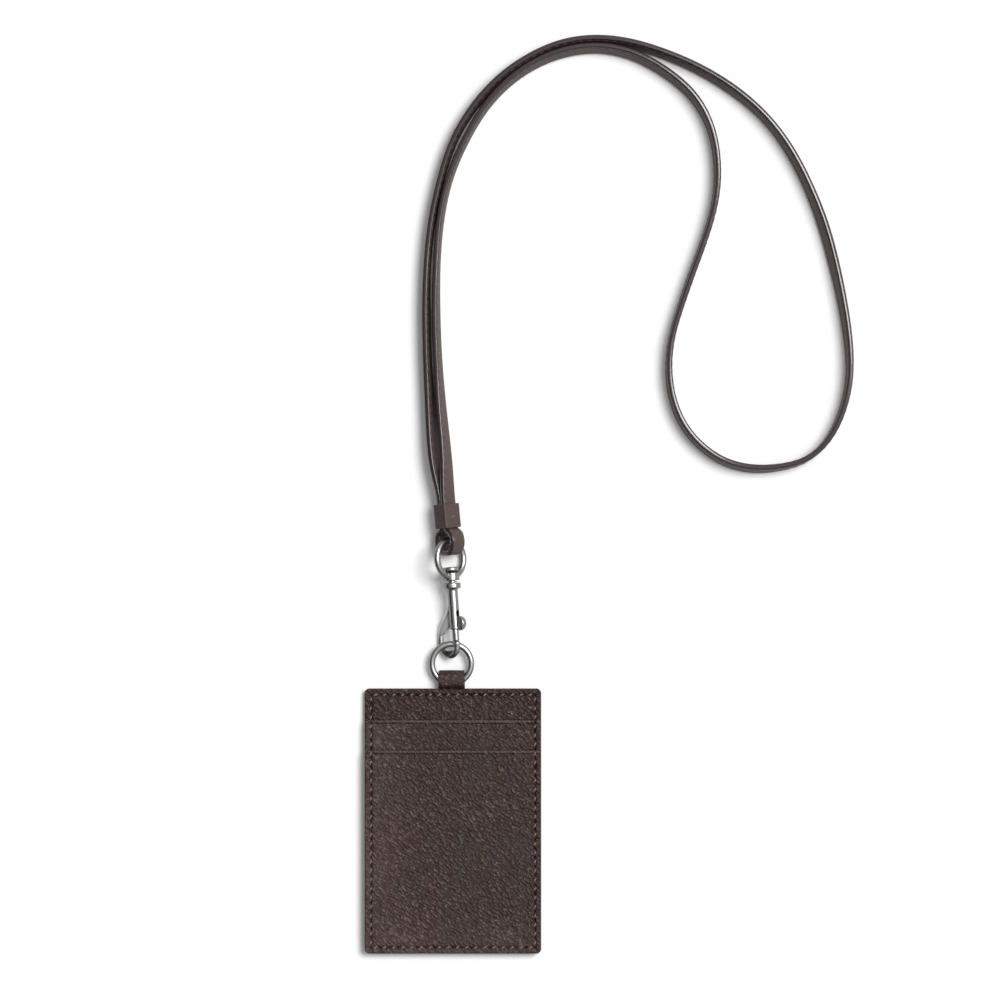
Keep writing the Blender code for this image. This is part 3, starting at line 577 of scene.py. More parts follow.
def blended(tree, share, below, above):
    """Two colours mixed by a share; above is plain numbers or a (node, output) pair."""
    made = add(tree, "ShaderNodeMix", data_type="RGBA")
    link(tree, share[0], share[1], made, "Factor")
    link(tree, below[0], below[1], made, "A")
    if isinstance(above[0], float):
        made.inputs["B"].default_value = (*above, 1.0)
    else:
        link(tree, above[0], above[1], made, "B")
    return made, "Result"


def bumped(tree, height, strength, distance, shader):
    """A relief for the shader's normal."""
    made = add(tree, "ShaderNodeBump", {"Strength": strength, "Distance": distance})
    link(tree, height[0], height[1], made, "Height")
    link(tree, made, "Normal", shader, "Normal")


def new_material(name, roughness, metallic=0.0):
    """A material with its Principled shader, and the tree that holds them."""
    material = bpy.data.materials.new(name)
    material.use_nodes = True
    tree = material.node_tree
    shader = tree.nodes["Principled BSDF"]
    shader.inputs["Roughness"].default_value = roughness
    shader.inputs["Metallic"].default_value = metallic
    return material, tree, shader


def ramp(tree, source, output, stops):
    """A colour ramp with (place, colour) stops, fed by an output."""
    made = add(tree, "ShaderNodeValToRGB")
    band = made.color_ramp
    band.elements[0].position = stops[0][0]
    band.elements[0].color = (*stops[0][1], 1.0)
    band.elements[1].position = stops[-1][0]
    band.elements[1].color = (*stops[-1][1], 1.0)
    for place, colour in stops[1:-1]:
        band.elements.new(place).color = (*colour, 1.0)
    link(tree, source, output, made, "Fac")
    return made


def placed_in(tree):
    """The piece's own coordinates as a (node, output) pair."""
    return add(tree, "ShaderNodeTexCoord"), "Object"


def stretched(tree, coordinates, degrees, longer):
    """Object coordinates for forms drawn out along a direction in the XY plane."""
    mapping = add(tree, "ShaderNodeMapping", vector_type="TEXTURE")
    mapping.inputs["Rotation"].default_value = (0.0, 0.0, math.radians(degrees))
    mapping.inputs["Scale"].default_value = (longer, 1.0, 1.0)
    link(tree, coordinates[0], coordinates[1], mapping, "Vector")
    return mapping, "Vector"


def warped(tree, source, scale, reach):
    """Coordinates pushed about by noise, so that cells lose their straight edges."""
    noise = texture(tree, source, inputs={"Scale": scale, "Detail": 2.0})
    centred = add(tree, "ShaderNodeVectorMath", {1: (0.5, 0.5, 0.5)}, operation="SUBTRACT")
    link(tree, noise, "Color", centred, 0)
    push = add(tree, "ShaderNodeVectorMath", {"Scale": reach}, operation="SCALE")
    link(tree, centred, "Vector", push, 0)
    moved = add(tree, "ShaderNodeVectorMath", operation="ADD")
    link(tree, source[0], source[1], moved, 0)
    link(tree, push, "Vector", moved, 1)
    return moved, "Vector"


def attribute(tree, key):
    """A value stored with the piece's own points."""
    return add(tree, "ShaderNodeAttribute", attribute_name=key), "Fac"


def worked(tree, operation, *values):
    """A calculation with plain numbers and the outputs of other nodes."""
    made = add(tree, "ShaderNodeMath", operation=operation)
    for entry, value in enumerate(values):
        if isinstance(value, tuple):
            link(tree, value[0], value[1], made, entry)
        else:
            made.inputs[entry].default_value = value
    return made, "Value"


def total_of(tree, *terms):
    """The sum of (value, weight) terms, each value a (node, output) pair."""
    total = 0.0
    for value, weight in terms:
        total = worked(tree, "MULTIPLY_ADD", value, weight, total)
    return total


def lowered(tree, value, weight):
    """1 - weight * value, to darken by a mask."""
    return worked(tree, "MULTIPLY_ADD", value, -weight, 1.0)


def hump(tree, value, width):
    """exp(-(value / width)^2)."""
    part = worked(tree, "DIVIDE", value, width)
    square = worked(tree, "MULTIPLY", part, part)
    return worked(tree, "EXPONENT", worked(tree, "MULTIPLY", square, -1.0))


def needle_holes(tree):
    """Slits between the stitches, the shallow groove that they lie in, and the gathers beside it, as masks
    for relief and for painted shade.

    With u along the seam from a whole stitch and w across it, in millimetres, and both turned by
    the slant, a slit is exp(-(u / 0.5)^2) exp(-(w / 0.28)^2). The gathers are slanting waves, 2 to
    a stitch, within a millimetre of the groove.
    """
    stitch = attribute(tree, "stitch")
    across = attribute(tree, "across_seam")
    whole = worked(tree, "FRACT", worked(tree, "ADD", stitch, 0.5))
    along = worked(tree, "MULTIPLY", worked(tree, "SUBTRACT", whole, 0.5), STITCH_PITCH_MM)
    slant = math.radians(HOLE_SLANT)
    u = total_of(tree, (along, math.cos(slant)), (across, math.sin(slant)))
    w = total_of(tree, (across, math.cos(slant)), (along, -math.sin(slant)))
    slit = worked(tree, "MULTIPLY", hump(tree, u, 0.5), hump(tree, w, 0.28))
    turns = total_of(tree, (stitch, 4 * math.pi), (across, 2.6))
    beside = worked(tree, "SUBTRACT", worked(tree, "ABSOLUTE", across), 1.15)
    gathers = worked(tree, "MULTIPLY", worked(tree, "SINE", turns), hump(tree, beside, 0.6))
    return slit, hump(tree, across, 0.5), gathers


def leather_height(tree, coordinates, amount):
    """Height of the grain: domed slanting pebbles, longer wrinkles over them, and fine pores.

    height = 0.65 amount (pebble - 1) + (1.1 amount + 0.35) wrinkle + 0.5 pore, with wrinkle and pore
    from -0.5 to 0.5.
    """
    streaks = stretched(tree, coordinates, -38, 1.7)
    cells = texture(tree, warped(tree, streaks, 450.0, 0.0010), "Voronoi",
                    {"Scale": 1080.0, "Smoothness": 0.45}, feature="SMOOTH_F1")
    pebble = mapped(tree, (cells, "Distance"), {"From Min": 0.72, "From Max": 0.12},
                    interpolation_type="SMOOTHSTEP")
    bent = warped(tree, stretched(tree, coordinates, -42, 2.6), 420.0, 0.0008)
    lines = texture(tree, bent, inputs={"Scale": 900.0, "Detail": 2.0, "Roughness": 0.6})
    pores = texture(tree, streaks, inputs={"Scale": 2300.0, "Detail": 2.0, "Roughness": 0.6})
    wrinkle = worked(tree, "SUBTRACT", (lines, "Fac"), 0.5)
    pore = worked(tree, "SUBTRACT", (pores, "Fac"), 0.5)
    grooves = worked(tree, "MULTIPLY", worked(tree, "SUBTRACT", pebble, 1.0), amount)
    share = worked(tree, "MULTIPLY_ADD", amount, 1.1, 0.35)
    return total_of(tree, (grooves, 0.65), (wrinkle, share), (pore, 0.5))


def turned_edge_painted_light(tree):
    """Painted shade and highlight on a pocket's turned top edge, and how far its rolled band hides the
    grain.

    The ramps run from the edge to 4 mm below it: a dark rim of painted shade, the band, a dark crease
    of painted shade and a light line of painted highlight below the crease.
    """
    from_top = worked(tree, "DIVIDE", attribute(tree, "from_top"), 4.0)
    shade = ramp(tree, *from_top, [
        (0.0, (0.40, 0.38, 0.38)), (0.06, (0.6, 0.58, 0.58)), (0.09, (1.0, 1.0, 1.0)),
        (0.36, (0.9, 0.9, 0.9)), (0.41, (0.30, 0.28, 0.28)), (0.46, (0.6, 0.6, 0.6)),
        (0.52, (1.5, 1.55, 1.55)), (0.58, (1.0, 1.0, 1.0))])
    rolled = ramp(tree, *from_top, [(place, (level,) * 3) for place, level in (
        (0.0, 0.0), (0.06, 0.0), (0.11, 0.8), (0.31, 0.8), (0.37, 0.0))])
    return (shade, "Color"), (rolled, "Color")


def grained_leather(name, tones):
    """Fine grained leather: dark between the pebbles as painted shade, paler on them as painted highlight,
    with a painted sheen in patches and painted shade along the seam.
    """
    material, tree, shader = new_material(name, 0.42)
    shader.inputs["Specular IOR Level"].default_value = 0.25
    coordinates = placed_in(tree)
    patches = texture(tree, coordinates, inputs={"Scale": 40.0, "Detail": 2.0, "Roughness": 0.5}), "Fac"
    grain = attribute(tree, "grain")
    rough_patch = mapped(tree, patches, {"From Min": 0.38, "From Max": 0.62, "To Min": 0.62, "To Max": 1.0})
    height = leather_height(tree, coordinates, worked(tree, "MULTIPLY", rough_patch, grain))
    # Tone by the grain's height: painted shade in the creases, and a painted highlight on the pale grey
    # pebble tops.
    tone = ramp(tree, *worked(tree, "ADD", height, 0.6),
                [(0.0, tones[0]), (0.45, tones[1]), (0.9, tones[2])]), "Color"
    # Painted sheen: a paler grey mixed in soft patches, weaker where the grain share is low.
    sheen = mapped(tree, patches, {"From Min": 0.35, "From Max": 0.65, "To Max": 0.35})
    tone = blended(tree, worked(tree, "MULTIPLY", sheen, grain), tone, PAINTED_SHEEN_COLOUR)
    # The turned edge's dark rim and crease are painted shade, and its light line a painted highlight.
    shade, rolled = turned_edge_painted_light(tree)
    # The rolled band is smooth leather without grain, and its paler tone is a painted highlight.
    tone = blended(tree, worked(tree, "MULTIPLY", rolled, grain), tone, ROLLED_BAND_PAINTED_LIGHT_COLOUR)
    slit, groove, gathers = needle_holes(tree)
    # Painted shade at the seam: dark needle slits, a darker groove, darker beside the seam where the panel
    # dips into it, and painted light and shade on the gathers.
    beside = hump(tree, attribute(tree, "across_seam"), 1.8)
    sewn = lowered(tree, slit, 0.8)
    for mask, weight in ((groove, 0.2), (gathers, -0.15), (beside, 0.18)):
        sewn = worked(tree, "MULTIPLY", sewn, lowered(tree, mask, weight))
    for factor in (shade, sewn):
        product = add(tree, "ShaderNodeVectorMath", operation="MULTIPLY")
        link(tree, tone[0], tone[1], product, 0)
        link(tree, factor[0], factor[1], product, 1)
        tone = (product, "Vector")
    link(tree, tone[0], tone[1], shader, "Base Color")
    relief = total_of(tree, (height, 1.0), (slit, -0.45), (groove, -0.12), (gathers, 0.12))
    bumped(tree, relief, 1.0, 0.0005, shader)
    return material


def strap_leather(name, face, dark_face, edge):
    """Smooth strap leather with glossy painted edges, told apart by the across attribute."""
    material, tree, shader = new_material(name, 0.42)
    shader.inputs["Specular IOR Level"].default_value = 0.8
    coordinates = placed_in(tree)
    grain = texture(tree, coordinates, inputs={"Scale": 1500.0, "Detail": 6.0, "Roughness": 0.65})
    cloud = texture(tree, coordinates, inputs={"Scale": 70.0, "Detail": 3.0})
    tone = ramp(tree, grain, "Fac", [(0.38, dark_face), (0.60, face)])
    shade = ramp(tree, cloud, "Fac", [(0.35, (0.82, 0.81, 0.8)), (0.65, (1.12, 1.12, 1.12))])
    mixed = add(tree, "ShaderNodeMix", {"Factor": 1.0}, data_type="RGBA", blend_type="MULTIPLY")
    link(tree, tone, "Color", mixed, "A")
    link(tree, shade, "Color", mixed, "B")
    width = worked(tree, "ABSOLUTE", attribute(tree, "across"))
    painted = mapped(tree, width, {"From Min": 0.82, "From Max": 0.86})
    # A dark line where the face turns into the painted edge: painted shade at the strap's corners.
    line = tuple(part * 0.15 for part in edge)
    paint = ramp(tree, *width, [(0.84, line), (0.91, line), (0.955, edge)])
    whole = blended(tree, painted, (mixed, "Result"), (paint, "Color"))
    link(tree, *whole, shader, "Base Color")
    link(tree, *mapped(tree, painted, {"To Min": 0.6, "To Max": 0.17}), shader, "Roughness")
    bumped(tree, (grain, "Fac"), 0.35, 0.00008, shader)
    return material


def twisted_thread(name, colour, dark):
    """Waxed thread: its plies show as fine slanting bands, darker between them as painted shade."""
    material, tree, shader = new_material(name, 0.55)
    shader.inputs["Sheen Weight"].default_value = 0.15
    plies = texture(tree, placed_in(tree), "Wave", {"Scale": 900.0, "Distortion": 1.5, "Detail": 1.0},
                    bands_direction="DIAGONAL")
    # The darker tone in the grooves between the plies is painted shade.
    tone = ramp(tree, plies, "Fac", [(0.1, dark), (0.7, colour)])
    link(tree, tone, "Color", shader, "Base Color")
    bumped(tree, (plies, "Fac"), 0.4, 0.00006, shader)
    return material


def plated_metal(name, colour, roughness):
    """Satin plate over a casting: faint waves, fine wear, darker where it turns away as a painted dark
    reflection, and a rougher skin painted paler as light where the cast_skin attribute says so."""
    material, tree, shader = new_material(name, roughness, 1.0)
    coordinates = placed_in(tree)
    # Painted dark reflection: the colour falls to a quarter where the surface turns away from the view.
    facing = add(tree, "ShaderNodeLayerWeight", {"Blend": 0.5})
    painted_dark_rim_shares = [(0.0, 1.0), (0.06, 0.95), (0.18, 0.62), (0.4, 0.5), (0.7, 0.36), (1.0, 0.26)]
    tone = ramp(tree, facing, "Facing", [(place, tuple(share * part for part in colour))
                                         for place, share in painted_dark_rim_shares])
    skin = attribute(tree, "cast_skin")
    # The cast skin's added roughness is real; its paler colour is painted light on the web.
    link(tree, *blended(tree, skin, (tone, "Color"), CAST_SKIN_PAINTED_LIGHT_COLOUR), shader, "Base Color")
    wear = texture(tree, coordinates, inputs={"Scale": 1400.0, "Detail": 5.0, "Roughness": 0.6})
    gloss = mapped(tree, (wear, "Fac"), {"From Min": 0.3, "From Max": 0.7,
                                         "To Min": roughness * 0.8, "To Max": roughness * 1.25})
    link(tree, *total_of(tree, (gloss, 1.0), (skin, 0.3)), shader, "Roughness")
    waves = texture(tree, coordinates, inputs={"Scale": 300.0, "Detail": 2.0})
    bumped(tree, (waves, "Fac"), 0.10, 0.0001, shader)
    return material


def plain_board(name, colour):
    """Grey brown board with a little fibre."""
    material, tree, shader = new_material(name, 0.9)
    fibre = texture(tree, placed_in(tree), inputs={"Scale": 900.0, "Detail": 5.0})
    tone = ramp(tree, fibre, "Fac", [(0.3, tuple(part * 0.7 for part in colour)), (0.7, colour)])
    link(tree, tone, "Color", shader, "Base Color")
    return material


def material_for(kind):
    """The finished materials by kind, each made once."""
    found = bpy.data.materials.get(kind)
    if found:
        return found
    looks = bpy.context.scene.card_holder_looks
    if kind == "dark_pebbled_leather":
        # Crease, middle and top tones of the grain: the dark creases are painted shade, the pale tops a
        # painted highlight.
        return grained_leather(kind, [(0.016, 0.004, 0.003), (0.046, 0.0215, 0.0185), tuple(looks.leather)])
    if kind == "taupe_strap_leather":
        face = tuple(looks.strap)
        return strap_leather(kind, face, tuple(part * 0.4 for part in face), (0.040, 0.026, 0.030))
    if kind == "tan_thread":
        colour = tuple(looks.thread)
        return twisted_thread(kind, colour, tuple(part * 0.45 for part in colour))
    if kind == "brown_thread":
        return twisted_thread(kind, (0.20, 0.11, 0.08), (0.07, 0.038, 0.028))
    if kind == "nickel_plate":
        return plated_metal(kind, tuple(looks.metal), looks.metal_roughness)
    if kind == "bright_spring_wire":
        return plated_metal(kind, (0.55, 0.55, 0.56), 0.3)
    return plain_board("stiff_board", (0.25, 0.2, 0.15))


# Strap pieces

def strap_section(width, thickness):
    """Across and outward places round the strap's section, face by face, edge by edge."""
    corner = thickness * 0.32
    face = softened(np.linspace(-1, 1, SECTION_FACE_POINTS), 0.8) * (width / 2 - corner)
    turn = np.linspace(np.pi / 2, -np.pi / 2, SECTION_EDGE_POINTS + 2)[1:-1]
    edge_across = width / 2 - corner + corner * np.cos(turn) ** 0.75
    edge_out = thickness / 2 * softened(np.sin(turn), 0.85)
    across = np.concatenate([face, edge_across, face[::-1], -edge_across])
    out = np.concatenate([np.full(len(face), thickness / 2), edge_out,
                          np.full(len(face), -thickness / 2), -edge_out])
    return across, out


def strap_surface(line, width_axis, normal, places, sizes):
    """The strap's skin: its section carried along the line, with sewn grooves.

    Outward place = half thickness + crown (1 - (a / half width)^2) - exp(-((|a| - seam) / spread)^2)
    (groove + hole cos^6(pi s / pitch)), which deepens the groove where the needle went through. The
    leather puffs up a little between two holes, by sin^2(pi s / pitch), on the seam's outer side.
    """
    across, out = strap_section(sizes.width, sizes.thickness)
    a = across[None, :]
    s = places[:, None]
    on_face = np.clip(np.abs(out) / (sizes.thickness / 2), 0, 1)[None, :] ** 4
    crown = sizes.crown * (1 - (a / (sizes.width / 2)) ** 2)
    seam = sizes.width / 2 - sizes.seam_inset
    from_seam = np.abs(a) - seam
    turn = np.pi * s / sizes.pitch
    near = np.exp(-(from_seam / STRAP_GROOVE_SPREAD) ** 2)
    beside = np.exp(-((from_seam - STRAP_PUFF_PLACE) / STRAP_PUFF_SPREAD) ** 2)
    puff = STRAP_PUFF * np.sin(turn) ** 2 * beside
    lift = (crown + puff - near * (STRAP_GROOVE + STRAP_HOLE * np.cos(turn) ** 6)) * on_face
    outward = out[None, :] + np.sign(out)[None, :] * lift
    points = (line[:, None, :] + a[..., None] * width_axis[:, None, :]
              + outward[..., None] * normal[:, None, :])
    values = {"across": np.broadcast_to(a / (sizes.width / 2), outward.shape)}
    return points, tube_faces(*outward.shape), values


def rows_at(at, places, rows):
    """The rows of a line read off at other places along it."""
    return np.column_stack([np.interp(at, places, rows[:, axis]) for axis in range(rows.shape[1])])


def strap_stitches(line, heading, width_axis, normal, places, sizes, ends=0.001):
    """Stitches in the grooves of both faces, one between each two needle holes."""
    count = int((places[-1] - ends * 2) / sizes.pitch)
    at = (np.arange(count) + 0.5 + math.ceil(ends / sizes.pitch)) * sizes.pitch
    at = at[at < places[-1] - ends]
    centre, ahead, wide, out = (rows_at(at, places, rows) for rows in (line, heading, width_axis, normal))
    seam = sizes.width / 2 - sizes.seam_inset
    level = sizes.thickness / 2 - STRAP_THREAD_SUNK
    sides = [(side, face) for side in (-1, 1) for face in (-1, 1)]
    centres = [centre + side * seam * wide + face * level * out for side, face in sides]
    ups = [face * out for _, face in sides]
    return capsule_group(np.vstack(centres), np.vstack([ahead] * 4), np.vstack([wide] * 4),
                         np.vstack(ups), sizes.pitch * STRAP_STITCH_SHARE, *STRAP_THREAD, 6, 6)


def neck_line(sizes):
    """Centre line, headings, width axes and face normals of the neck strap.

    The width axis is cos(lean) up + sin(lean) right of the heading, and the height is
    half width cos(lean) + half thickness sin(lean), blended into the keeper's height at the ends.
    """
    ends = []
    for side in (-1, 1):
        at = KEEPER_FRAME @ Vector((side * STRAND_OFFSET, STRAP_HIDDEN_START, 0.0))
        beyond = KEEPER_FRAME @ Vector((side * STRAND_OFFSET, STRAP_STRAIGHT_END, 0.0))
        lean = side * SWIVEL_LEAN
        ends.append([(at.x, at.y, lean), (beyond.x, beyond.y, lean)])
    rows = ends[0] + STRAP_ROUTE + ends[1][::-1]
    flat, places = cubic_through(rows, sizes.pitch / RINGS_PER_STITCH)
    lean = np.radians(flat[:, 2])
    height = sizes.width / 2 * np.cos(lean) + sizes.thickness / 2 * np.abs(np.sin(lean)) + REST_CLEARANCE
    rise = math.sin(math.radians(SWIVEL_LEAN)) * STRAND_OFFSET
    near_start = np.clip(1 - places / RISE_LENGTH, 0, 1)
    near_end = np.clip(1 - (places[-1] - places) / RISE_LENGTH, 0, 1)
    for nearness, level in ((near_start, KEEPER_CENTRE[2] - rise), (near_end, KEEPER_CENTRE[2] + rise)):
        share = nearness ** 2 * (3 - 2 * nearness)
        height = height + share * (level - height)
    line = np.column_stack([flat[:, 0], flat[:, 1], height])
    heading = unit_rows(np.gradient(line, axis=0))
    right = unit_rows(np.cross(heading, UP))
    up = np.cross(right, heading)
    width_axis = np.cos(lean)[:, None] * up + np.sin(lean)[:, None] * right
    normal = np.cos(lean)[:, None] * right - np.sin(lean)[:, None] * up
    return line, heading, width_axis, normal, reach_along(line)


class StrapSizes(bpy.types.PropertyGroup):
    """Sizes of the flat strap."""
    width: bpy.props.FloatProperty(name="Width", description="Width of the strap",
                                   default=0.007, unit="LENGTH")
    thickness: bpy.props.FloatProperty(name="Thickness", description="Thickness of the strap",
                                       default=0.0022, unit="LENGTH")
    crown: bpy.props.FloatProperty(name="Crown", description="Height of the crowned faces",
                                   default=0.00006, unit="LENGTH")
    pitch: bpy.props.FloatProperty(name="Stitch pitch", description="Length of one stitch",
                                   default=0.0034, unit="LENGTH")
    seam_inset: bpy.props.FloatProperty(name="Seam inset", description="Seam to edge distance",
                                        default=0.00105, unit="LENGTH")


class HolderSizes(bpy.types.PropertyGroup):
    """Sizes of the card holder's leather."""
    half_width: bpy.props.FloatProperty(name="Half width", description="Half of the holder's width",
                                        default=0.036, unit="LENGTH")
    corner: bpy.props.FloatProperty(name="Corner", description="Corner radius",
                                    default=0.002, unit="LENGTH")
    seam_inset: bpy.props.FloatProperty(name="Seam inset", description="Edge to seam distance",
                                        default=0.00255, unit="LENGTH")
    groove: bpy.props.FloatProperty(name="Groove", description="Depth of the sewn groove",
                                    default=0.00018, unit="LENGTH")
    pucker: bpy.props.FloatProperty(name="Pucker", description="Height of the gathers by the seam",
                                    default=0.00006, unit="LENGTH")


class HookSizes(bpy.types.PropertyGroup):
    """Sizes of the ring, the snap hook and the swivel."""
    ring_radius: bpy.props.FloatProperty(name="Ring radius", description="To the wire's middle",
                                         default=0.008, unit="LENGTH")
    ring_wire: bpy.props.FloatProperty(name="Ring wire", description="Radius of the ring's wire",
                                       default=0.00125, unit="LENGTH")
    eye_radius: bpy.props.FloatProperty(name="Eye radius", description="To the wire's middle",
                                        default=0.00745, unit="LENGTH")
    eye_wire: bpy.props.FloatProperty(name="Eye wire", description="Radius of the eye's wire",
                                      default=0.0013, unit="LENGTH")


class Looks(bpy.types.PropertyGroup):
    """Colours and finish."""
    # The pale grey tops of the grain are a painted highlight over the leather's own brown.
    leather: bpy.props.FloatVectorProperty(name="Holder leather", description="Tops of the grain",
                                           default=(0.170, 0.136, 0.132), subtype="COLOR", size=3)
    strap: bpy.props.FloatVectorProperty(name="Strap leather", description="Face of the strap",
                                         default=(0.070, 0.037, 0.030), subtype="COLOR", size=3)
    thread: bpy.props.FloatVectorProperty(name="Edge thread", description="Thread of the holder",
                                          default=(0.34, 0.19, 0.15), subtype="COLOR", size=3)
    metal: bpy.props.FloatVectorProperty(name="Plating", description="Colour of the plated metal",
                                         default=(0.52, 0.52, 0.51), subtype="COLOR", size=3)
    metal_roughness: bpy.props.FloatProperty(name="Metal roughness", description="0 is a mirror",
                                             default=0.31, min=0.0, max=1.0)


class StageSizes(bpy.types.PropertyGroup):
    """The view and the light."""
    view_centre: bpy.props.FloatVectorProperty(name="View centre", description="Middle of the view",
                                               default=(0.0192, 0.1308, 0.0), subtype="XYZ", size=3)
    view_width: bpy.props.FloatProperty(name="View width", description="Width seen on the floor",
                                        default=0.4082, unit="LENGTH")
    view_height: bpy.props.FloatProperty(name="View height", description="Camera above the floor",
                                         default=3.0, unit="LENGTH")
    key_right: bpy.props.FloatProperty(name="Key to the right", description="Slope of the light in X",
                                       default=0.5)
    key_up: bpy.props.FloatProperty(name="Key upwards", description="Slope of the light in Y",
                                    default=0.3)
    key_power: bpy.props.FloatProperty(name="Key light", description="Strength of the key light",
                                       default=2.35)
    key_spread: bpy.props.FloatProperty(name="Key spread", description="Angle the key light spans",
                                        default=math.radians(30), subtype="ANGLE")
    floor_lift: bpy.props.FloatProperty(name="Floor lift", description="Whiteness added to the floor",
                                        default=0.05)
    sky: bpy.props.FloatProperty(name="Room light", description="Strength of the room light",
                                 default=1.0)


class CARDHOLDER_OT_stage(bpy.types.Operator):
    """Camera straight above, pale floor, soft room light and a softbox at the upper right"""
    bl_idname = "card_holder.stage"
    bl_label = "Stage"

    def execute(self, context):
        stage = context.scene.card_holder_stage
        camera_data = bpy.data.cameras.new("camera")
        camera_data.sensor_width = SENSOR_WIDTH
        camera_data.lens = SENSOR_WIDTH * stage.view_height / stage.view_width
        camera_data.clip_end = FAR_CLIP
        camera = bpy.data.objects.new("camera", camera_data)
        centre = Vector(stage.view_centre)
        camera.location = centre + Vector((0.0, 0.0, stage.view_height))
        context.scene.collection.objects.link(camera)
        context.scene.camera = camera
        context.scene.view_settings.view_transform = "Standard"
        self.make_floor(context, centre, stage)
        self.make_light(context, centre, stage)
        self.make_room(context, stage)
        return {"FINISHED"}

    def make_floor(self, context, centre, stage):
        """A wide flat floor, white where it is seen, that throws back less light than it shows."""
        corners = np.array([(-1.0, -1.0, 0.0), (1.0, -1.0, 0.0), (1.0, 1.0, 0.0), (-1.0, 1.0, 0.0)])
        points = corners * FLOOR_HALF + np.array([centre.x, centre.y, -FLOOR_GAP])
        mesh = bpy.data.meshes.new("floor")
        mesh.from_pydata(points, [], [[0, 1, 2, 3]])
        floor = bpy.data.objects.new("floor", mesh)
        context.scene.collection.objects.link(floor)
        material, tree, shader = new_material("pale_floor", 0.9)
        shader.inputs["Specular IOR Level"].default_value = 0.0
        shader.inputs["Emission Color"].default_value = (1.0, 1.0, 1.0, 1.0)
        path = add(tree, "ShaderNodeLightPath")
        seen = worked(tree, "MAXIMUM", (path, "Is Camera Ray"), (path, "Is Glossy Ray"))
        seen = worked(tree, "MAXIMUM", seen, (path, "Is Transmission Ray"))
        lift = worked(tree, "MULTIPLY", seen, stage.floor_lift)
        link(tree, *lift, shader, "Emission Strength")
        tone = ramp(tree, *seen, [(0.0, (0.4, 0.4, 0.4)), (1.0, (0.97, 0.97, 0.97))])
        link(tree, tone, "Color", shader, "Base Color")
        mesh.materials.append(material)

    def make_light(self, context, centre, stage):
        """A large soft key light, a little to the upper right of straight above."""
        data = bpy.data.lights.new("key_light", "SUN")
        data.energy = stage.key_power
        data.angle = stage.key_spread
        lamp = bpy.data.objects.new("key_light", data)
        lamp.location = centre + Vector((stage.key_right, stage.key_up, 1.0))
        lamp.rotation_euler = (centre - lamp.location).to_track_quat("-Z", "Y").to_euler()
        context.scene.collection.objects.link(lamp)

    def make_room(self, context, stage):
        """A room that is bright overhead and towards the upper right, and dark on the left."""
        world = bpy.data.worlds.new("room")
        context.scene.world = world
        world.use_nodes = True
        tree = world.node_tree
        background = tree.nodes["Background"]
        coordinates = add(tree, "ShaderNodeTexCoord")
        split = add(tree, "ShaderNodeSeparateXYZ")
        link(tree, coordinates, "Generated", split, "Vector")
        fall = ramp(tree, split, "Z", [(0.0, (0.24,) * 3), (0.35, (0.30,) * 3), (0.65, (0.44,) * 3),
                                       (1.0, (0.52,) * 3)])
        lean = total_of(tree, ((split, "X"), 0.85), ((split, "Y"), 0.45))
        side = mapped(tree, lean, {"From Min": -0.8, "From Max": 0.8, "To Min": 0.04, "To Max": 2.0})
        both = add(tree, "ShaderNodeVectorMath", operation="SCALE")
        link(tree, fall, "Color", both, "Vector")
        link(tree, *side, both, "Scale")
        link(tree, both, "Vector", background, "Color")
        background.inputs["Strength"].default_value = stage.sky


class CARDHOLDER_OT_neck_strap(bpy.types.Operator):
    """The long neck strap and the stitches along its edges"""
    bl_idname = "card_holder.neck_strap"
    bl_label = "Neck strap"

    def execute(self, context):
        sizes = context.scene.card_holder_strap
        line, heading, width_axis, normal, places = neck_line(sizes)
        strap = make_piece("neck_strap_leather",
                           *strap_surface(line, width_axis, normal, places, sizes))
        finish_piece(strap, material_for("taupe_strap_leather"), "strap_leather", "lanyard", "neck_strap")
        stitches = make_piece("neck_strap_stitches",
                              *strap_stitches(line, heading, width_axis, normal, places, sizes))
        finish_piece(stitches, material_for("brown_thread"), "thread", "lanyard")
        print(f"neck strap {places[-1]:.4f} m")
        return {"FINISHED"}


